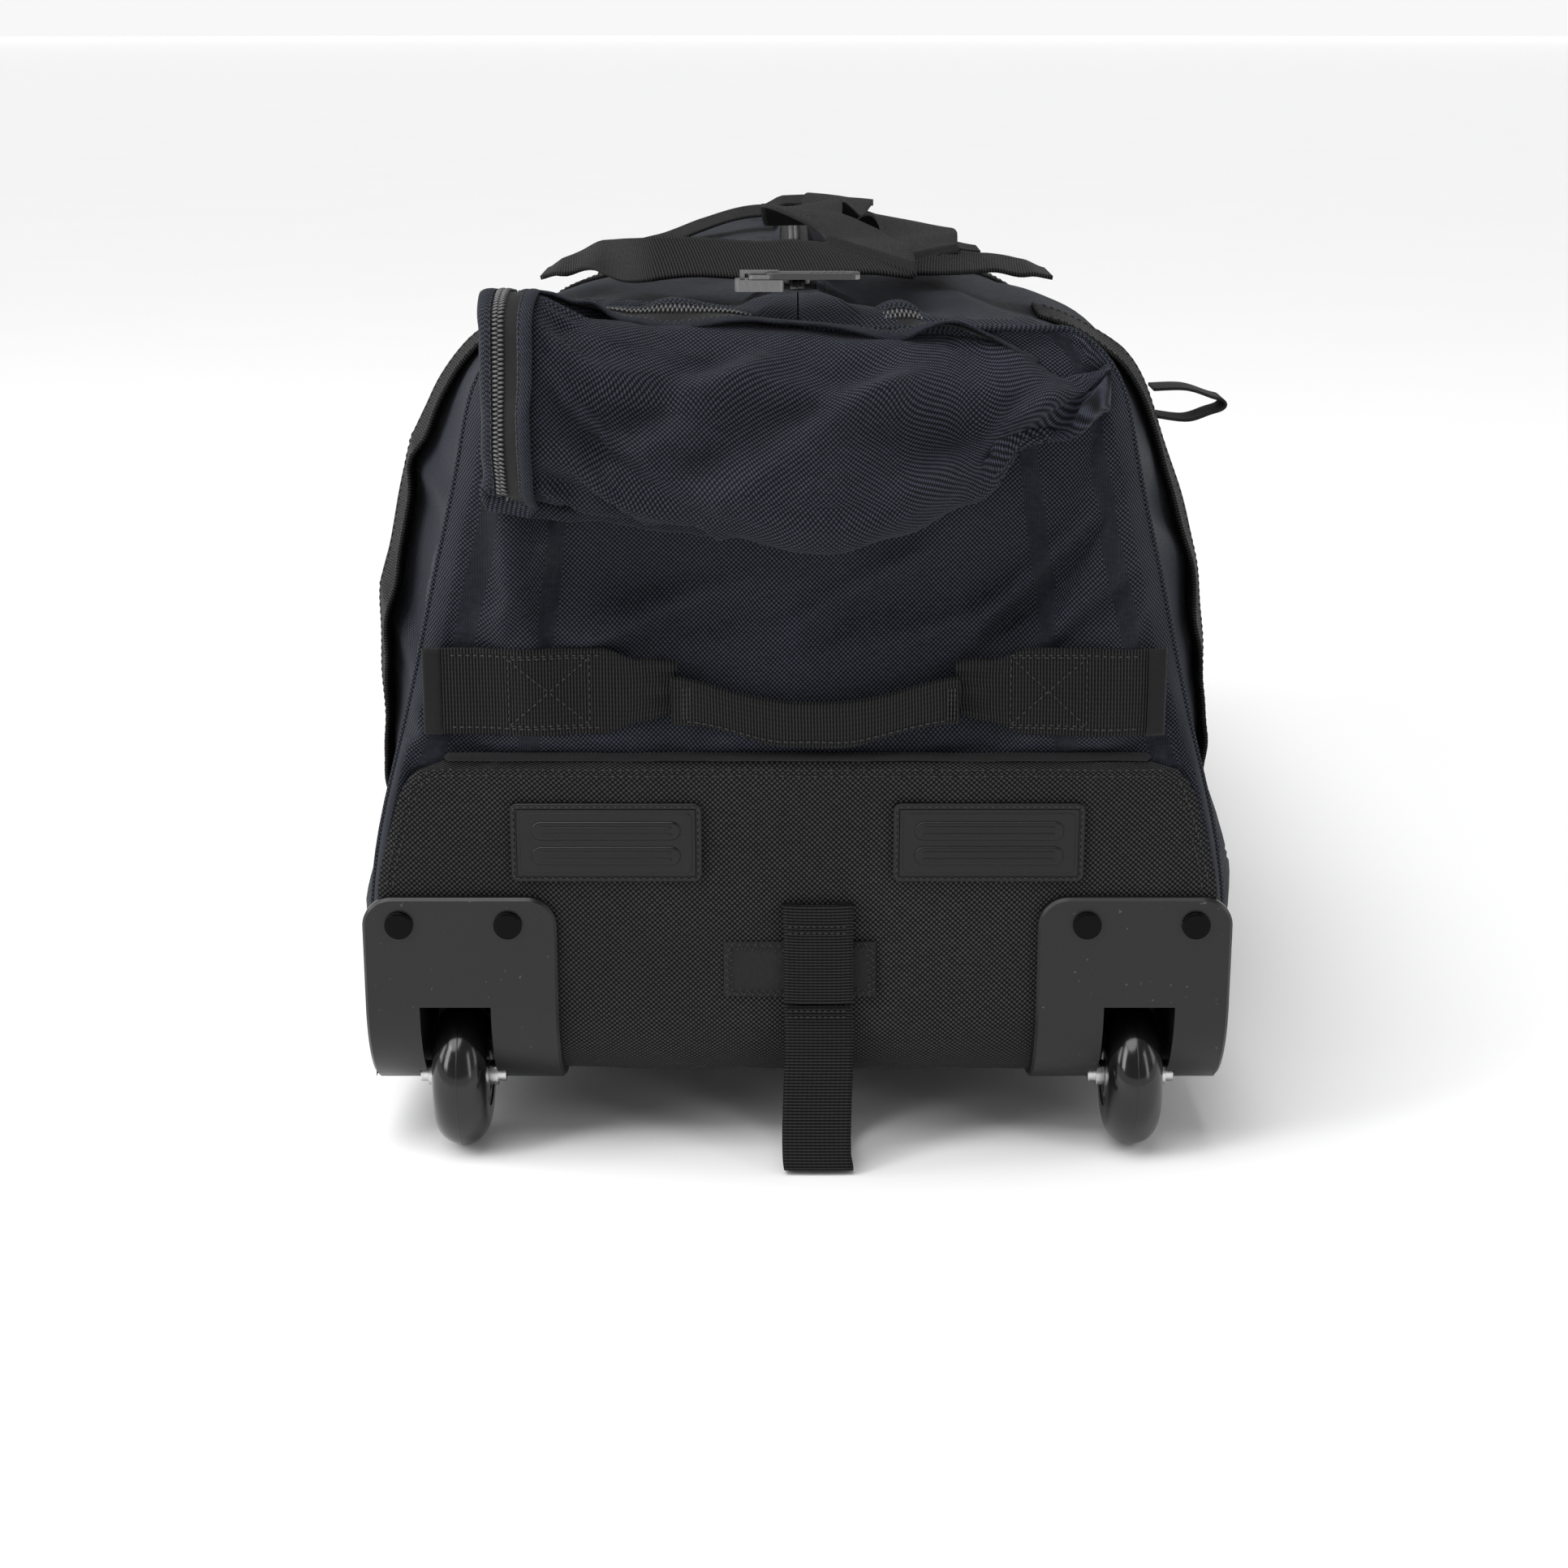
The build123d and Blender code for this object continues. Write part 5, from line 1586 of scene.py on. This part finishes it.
left_loop = loop_place(-1, 150, [(0, 371.5), (10, 375), (30, 382), (60, 385), (150, 385.5), (175, 384)],
                       [(0, 371.5), (30, 374.5), (60, 377), (98, 380), (112, 385.5), (175, 385.5)],
                       [(0, 0), (0.10, 0), (0.24, 9), (0.36, 0), (0.55, 7), (0.74, 0), (0.9, 3), (1, 0)],
                       [(0, 0), (14, -8), (58, -76), (150, -84)],
                       [(0, 0), (16, 8), (44, 24), (80, 19), (150, 15)],
                       [(0, 0), (0.1, 0), (0.26, 30), (0.5, 26), (0.8, 8), (1, 0)])
right_loop = loop_place(1, 62, [(0, 371.5), (12, 374), (30, 377.5), (60, 379), (120, 379)],
                        [(0, 371.5), (30, 374.5), (60, 377), (120, 379)],
                        [(0, 0), (0.2, 2), (0.4, 9), (0.6, 1), (0.8, 4), (1, 0)],
                        [(0, 0), (20, -6), (62, -22)], [(0, 0), (20, 7), (62, 10)],
                        [(0, 0), (0.3, 6), (0.6, -4), (1, 0)])
loops = {}
for word, place in (("left", left_loop), ("right", right_loop)):
    loop = cloth("carry_loop_" + word, 14, 320, place, webbing, inside=at(0, 400, 300),
                 body=None, replaces=("carry_handle_" + word,))
    wall = loop.modifiers.new("thickness", "SOLIDIFY")
    wall.thickness = 1.8 * mm
    wall.offset = 0.0
    loops[word] = loop
print("carry loops done")

# %% [markdown]
# ## Main zip
# The main zip is heavier than the pocket's. Its tape lies in the slit between the side panels and ripples a
# little, because it is shorter than the cloth beside it. The coil turns are larger bodies at a wider pitch.

# %% Main zip tape and coil
ztape_low, ztape_high = (local(v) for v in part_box("main_zip_tape"))
coil_low, coil_high = (local(v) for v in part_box("main_zip_coil"))


def zip_tape_place(s, t):
    """s across the tape, t along it."""
    y = ztape_low.y + (ztape_high.y - ztape_low.y) * t
    aside = abs(2 * s - 1)
    ripple = 0.7 * ease(aside, 0.4, 0.9) * math.sin(y / 7.5 + 1.5 * noise.noise(Vector((y / 40, 0, 1))))
    return at(-8.6 + 17.2 * s, y, ztape_high.z + 0.15 + 0.2 * ripple)


cloth("main_zip_cloth", 14, 330, zip_tape_place, tape_cloth, thick=1.0 * mm,
      replaces=("main_zip_tape",))
zip_centre = [at(0, coil_low.y + (coil_high.y - coil_low.y) * k / 60, coil_low.z + 1.0) for k in range(61)]
coil_rows("main_coil_turns", zip_centre, None, "bag", 2.3, 3.3, ("main_zip_coil",))
hem_lines = []
for side in (-1, 1):
    hem_lines.append([at(side * 12.5, ztape_low.y + 2 + (ztape_high.y - ztape_low.y - 4) * k / 120, 380)
                      for k in range(121)])
for word, line, side in (("left", hem_lines[0], -1), ("right", hem_lines[1], 1)):
    stitches("main_zip_stitches_" + word, [line], pitch=4.6, facing=(0, 0, 1), host=side_trees[word],
             sink=0.05)

mp_low, mp_high = (local(v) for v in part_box("main_pull"))
main_pull_bm = bmesh.new()
moulded_block(main_pull_bm, (mp_low.x, mp_low.y, mp_low.z), (mp_high.x, mp_high.y - 6, mp_high.z), 3.2, 0.45,
              "z", 6, [(1.0, 0.0), (0.35, -0.35)])
for k in range(5):
    y = mp_low.y + 6 + 2.6 * k
    moulded_block(main_pull_bm, (mp_low.x + 1.2, y - 0.6, mp_high.z - 0.5),
                  (mp_high.x - 1.2, y + 0.6, mp_high.z), 0.4, 0.15, "z", 2)
finish_piece("main_pull_grip", main_pull_bm, pull_rubber, "main_zip_pull", (), smooth=False)
dress("main_pull", slider_metal)
print("main zip done")

# %% [markdown]
# ## Side loop
# A short loop of webbing stands out of the right shoulder. It is a ribbon that follows a rounded triangle.

# %% Side loop
sl_low, sl_high = (local(v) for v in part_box("side_loop"))
loop_mid_z = (sl_low.z + sl_high.z) / 2
loop_line = smooth_line([at(sl_low.x - 16, 0, sl_high.z - 1.0), at(sl_low.x, 0, sl_high.z - 0.8),
                         at(sl_high.x - 7, 0, loop_mid_z + 4.2), at(sl_high.x - 2, 0, loop_mid_z + 2.8),
                         at(sl_high.x - 0.2, 0, loop_mid_z), at(sl_high.x - 2.2, 0, loop_mid_z - 2.8),
                         at(sl_high.x - 8, 0, loop_mid_z - 4.8), at(sl_low.x + 1, 0, sl_low.z + 0.8),
                         at(sl_low.x - 14, 0, sl_low.z + 2.5)], 8)


def side_loop_place(s, t):
    """s along the bag, t round the loop."""
    k = min(int(round(t * (len(loop_line) - 1))), len(loop_line) - 1)
    spot = loop_line[k].copy()
    spot.y = at(0, sl_low.y + (sl_high.y - sl_low.y) * s, 0).y
    return spot


cloth("side_loop_webbing", 14, len(loop_line) - 1, side_loop_place, fine_webbing, body="loop",
      inside=at((sl_low.x + sl_high.x) / 2 - 2, 210, loop_mid_z), thick=1.4 * mm, replaces=("side_loop",))

# %% [markdown]
# ## Tow handle
# At the far end two webbing tabs hold a hanging handle: two straps that wrap round a moulded grip. The grip
# is turned, with swellings for the fingers, so it is spun from a profile.

# %% Tow handle
th_low, th_high = (local(v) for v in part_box("tow_handle"))
ta_low, ta_high = (local(v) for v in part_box("tow_anchors"))
grip_radius = (th_high.y - th_low.y) / 2
bar_y = (th_low.y + th_high.y) / 2
bar_z = th_low.z + grip_radius
tow_width = 26.0
tow_leg_x = ta_high.x - tow_width / 2
profile_bm = bmesh.new()
profile = [(th_low.x, 0.0), (th_low.x, 8.0), (th_low.x + 1.6, 10.2), (th_low.x + 5, 10.8),
           (th_low.x + 30, 10.8),
           (th_low.x + 33, 9.6), (-36, 9.2), (-30, 10.4), (-20, 10.6), (-13, 9.6), (-6, 10.5), (6, 10.5),
           (13, 9.6), (20, 10.6), (30, 10.4), (36, 9.2), (th_high.x - 33, 9.6), (th_high.x - 30, 10.8),
           (th_high.x - 5, 10.8), (th_high.x - 1.6, 10.2), (th_high.x, 8.0), (th_high.x, 0.0)]
ring = [profile_bm.verts.new(at(x, bar_y, bar_z + radius)) for x, radius in profile]
for a, b in zip(ring, ring[1:]):
    profile_bm.edges.new((a, b))
bmesh.ops.spin(profile_bm, geom=profile_bm.verts[:] + profile_bm.edges[:], cent=at(0, bar_y, bar_z),
               axis=(1, 0, 0), angle=2 * math.pi, steps=40, use_merge=True)
bmesh.ops.remove_doubles(profile_bm, verts=profile_bm.verts[:], dist=1e-6)
bmesh.ops.recalc_face_normals(profile_bm, faces=profile_bm.faces[:])
tow_grip = finish_piece("tow_grip", profile_bm, pull_rubber, "tow", ("tow_handle",))
soften = tow_grip.modifiers.new("soften", "SUBSURF")
soften.levels = soften.render_levels = 1
for word, side in (("left", -1), ("right", 1)):
    x = side * tow_leg_x
    strap_points = [(th_low.y + 0.6, th_high.z - 0.5), (th_low.y + 0.7, th_high.z - 18),
                    (th_low.y + 0.2, bar_z + 24),
                    (th_low.y - 0.8, bar_z + 8), (bar_y - 9.5, bar_z - 7), (bar_y, bar_z - 11.6),
                    (bar_y + 8.5, bar_z - 8),
                    (bar_y + 11.4, bar_z + 1), (bar_y + 8, bar_z + 11), (bar_y - 2, bar_z + 19),
                    (th_low.y + 4, bar_z + 30),
                    (th_low.y + 2.6, th_high.z - 20), (th_low.y + 2.4, th_high.z - 8)]
    strap_ribbon("tow_strap_" + word, strap_points, x, tow_width, 1.5 * mm, "tow", (), 0.15, 8)
    rows = [[at(x - 11, th_low.y + 4.0, th_high.z - drop), at(x + 11, th_low.y + 4.0, th_high.z - drop)]
            for drop in (10, 14, 26, 30)]
    stitches("tow_strap_stitches_" + word, rows, body="tow", pitch=3.0, facing=(0, 1, 0))
tow_tree = tree_of(tow_end)


def tow_tab_place(x):
    """s across, t upwards over a sewn tab on the far end."""
    def place(s, t):
        z = ta_low.z + (ta_high.z - ta_low.z) * t
        spot = at(x + (s - 0.5) * tow_width, 900, z)
        hit = cast(tow_tree, spot, (0, -1, 0), at(x, 801.5, z))
        return Vector((spot.x, max(hit.y, at(0, 800.5, 0).y) + 2.1 * mm, spot.z))
    return place


for word, side in (("left", -1), ("right", 1)):
    x = side * tow_leg_x
    tab = cloth("tow_tab_" + word, 12, 20, tow_tab_place(x), webbing, inside=at(0, 700, 300),
                thick=1.9 * mm, replaces=("tow_anchors",) if side < 0 else ())
    rows = [[at(x - 10, 810, ta_low.z + k), at(x + 10, 810, ta_low.z + k)] for k in (6, 26)]
    rows += [[at(x - 10, 810, ta_low.z + 6), at(x + 10, 810, ta_low.z + 26)],
             [at(x + 10, 810, ta_low.z + 6), at(x - 10, 810, ta_low.z + 26)],
             [at(x - 10, 810, ta_low.z + 6), at(x - 10, 810, ta_low.z + 26)],
             [at(x + 10, 810, ta_low.z + 6), at(x + 10, 810, ta_low.z + 26)]]
    stitches("tow_tab_stitches_" + word, rows, pitch=3.2, facing=(0, 1, 0), host=tree_of(tab), sink=0.05)
print("tow handle done")

# %% [markdown]
# ## Seams between the panels
# Where two panels meet, the cloth turns inwards and leaves a narrow piped ridge. A thin tube along each seam
# shows how the bag is put together. It is a grid rolled up round points that are read from the panels' own
# edges, so it sits exactly on the seam.


# %% Seams
def seam_tube(name, line, radius, material, sides_count=8):
    """A thin tube along a line; it narrows at both ends, which stay open."""
    count = len(line)
    reference = Vector((0.31, 0.17, 0.93))

    def place(s, t):
        k = min(int(round(t * (count - 1))), count - 1)
        run = (line[min(k + 1, count - 1)] - line[max(k - 1, 0)]).normalized()
        side = run.cross(reference).normalized()
        up = side.cross(run)
        size = radius * mm * (0.25 if k in (0, count - 1) else 1.0)
        angle = 2 * math.pi * s
        return line[k] + (side * math.cos(angle) + up * math.sin(angle)) * size
    centre = sum(line, Vector()) / count
    return cloth(name, sides_count, count - 1, place, material, inside=centre)


def grid_edge(piece, cols, rows, which):
    """The points of one border of a grid piece."""
    wide = cols + 1
    picks = {"low": range(0, wide), "high": range(rows * wide, (rows + 1) * wide),
             "start": range(0, wide * (rows + 1), wide), "end": range(cols, wide * (rows + 1), wide)}[which]
    return [piece.data.vertices[k].co.copy() for k in picks]


for word in ("left", "right"):
    for place_word, which in (("front", "start"), ("back", "end")):
        seam_tube("end_seam_" + word + "_" + place_word, grid_edge(sides[word], side_cols, side_rows, which),
                  1.5, navy_cloth)
    seam_tube("low_seam_" + word, grid_edge(sides[word], side_cols, side_rows, "low"), 1.3, tape_cloth)

# %% [markdown]
# ## Wheels and rivets
# A cast wheel keeps the fine parting line of its mould round the middle of the tread. Each rivet head has a
# polished rim. Both are thin rings, spun from a small circle, that ride with the part they sit on.


# %% Rings
def ring_piece(name, centre, axis, radius, wire, material, body):
    """A thin ring: a small circle spun about an axis."""
    bm = bmesh.new()
    axis = Vector(axis)
    outward = axis.orthogonal().normalized()
    turn = Matrix((axis, outward, axis.cross(outward))).transposed().to_4x4()
    turn.translation = centre + outward * radius * mm
    bmesh.ops.create_circle(bm, cap_ends=False, segments=8, radius=wire * mm, matrix=turn)
    bmesh.ops.spin(bm, geom=bm.verts[:] + bm.edges[:], cent=centre, axis=axis, angle=2 * math.pi, steps=64,
                   use_merge=True)
    bmesh.ops.recalc_face_normals(bm, faces=bm.faces[:])
    return finish_piece(name, bm, material, body)


for word in ("left", "right"):
    low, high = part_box("wheel_tyre_" + word)
    ring_piece("wheel_parting_" + word, (low + high) / 2, (1, 0, 0), (high.z - low.z) / 2 / mm - 0.05, 0.3,
               tyre_rubber, "wheel_" + word)
    rivet_low, rivet_high = (local(v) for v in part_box("housing_rivets_" + word))
    for number, x in enumerate((rivet_low.x + 6, rivet_high.x - 6)):
        ring_piece("rivet_rim_" + word + "_" + str(number),
                   at(x, rivet_low.y + 0.55, (rivet_low.z + rivet_high.z) / 2),
                   (0, 1, 0), 5.7, 0.42, rivet_plastic, "bag")
print("rings done")

# %% [markdown]
# ## The bag settles
# A half-full bag doesn't keep its top level. Behind the first handle bands its top sinks towards the far end,
# most at its sides and least at the main zip, whose stiff coil and tapes hold a ridge.
# Every sewn piece has to sink together or seams would open, so one smooth rule moves all their points: the
# further back and the higher a point is, the more it drops. The tow handle and the hard parts stay put.

# %% Sinking top
sink_depth = 27 * mm
sink_start, sink_full = at(0, 190, 0).y, at(0, 520, 0).y
sink_foot, sink_crown = 0.12, 0.37
ridge_share = 0.4
ridge_edge, flank_edge = 0.016, 0.11


def sink(point):
    """How far a point drops."""
    back = ease(point.y, sink_start, sink_full)
    beside = ridge_share + (1 - ridge_share) * ease(abs(point.x), ridge_edge, flank_edge)
    return sink_depth * back * beside * ease(point.z, sink_foot, sink_crown)


hard = ("tow_", "skid_", "wheel_", "rivet_", "main_pull", "pocket_pull", "side_loop")
for piece in [o for o in bpy.context.scene.objects if o.type == "MESH"]:
    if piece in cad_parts.values() or piece in (floor, backdrop) or piece.name.startswith(hard):
        continue
    for vert in piece.data.vertices:
        vert.co.z -= sink(vert.co)
    piece.data.update()
for word, side in (("left", -1), ("right", 1)):
    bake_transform(loops[word])
print("top sunk by", sink_depth)

# %% [markdown]
# ## Sizes
# The first cell printed the frame's size; the last cell prints the finished model's box, so that the two can
# be compared.

# %% Print the finished model's box
low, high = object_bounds()
print("visual box", [round(c, 4) for c in low], [round(c, 4) for c in high])
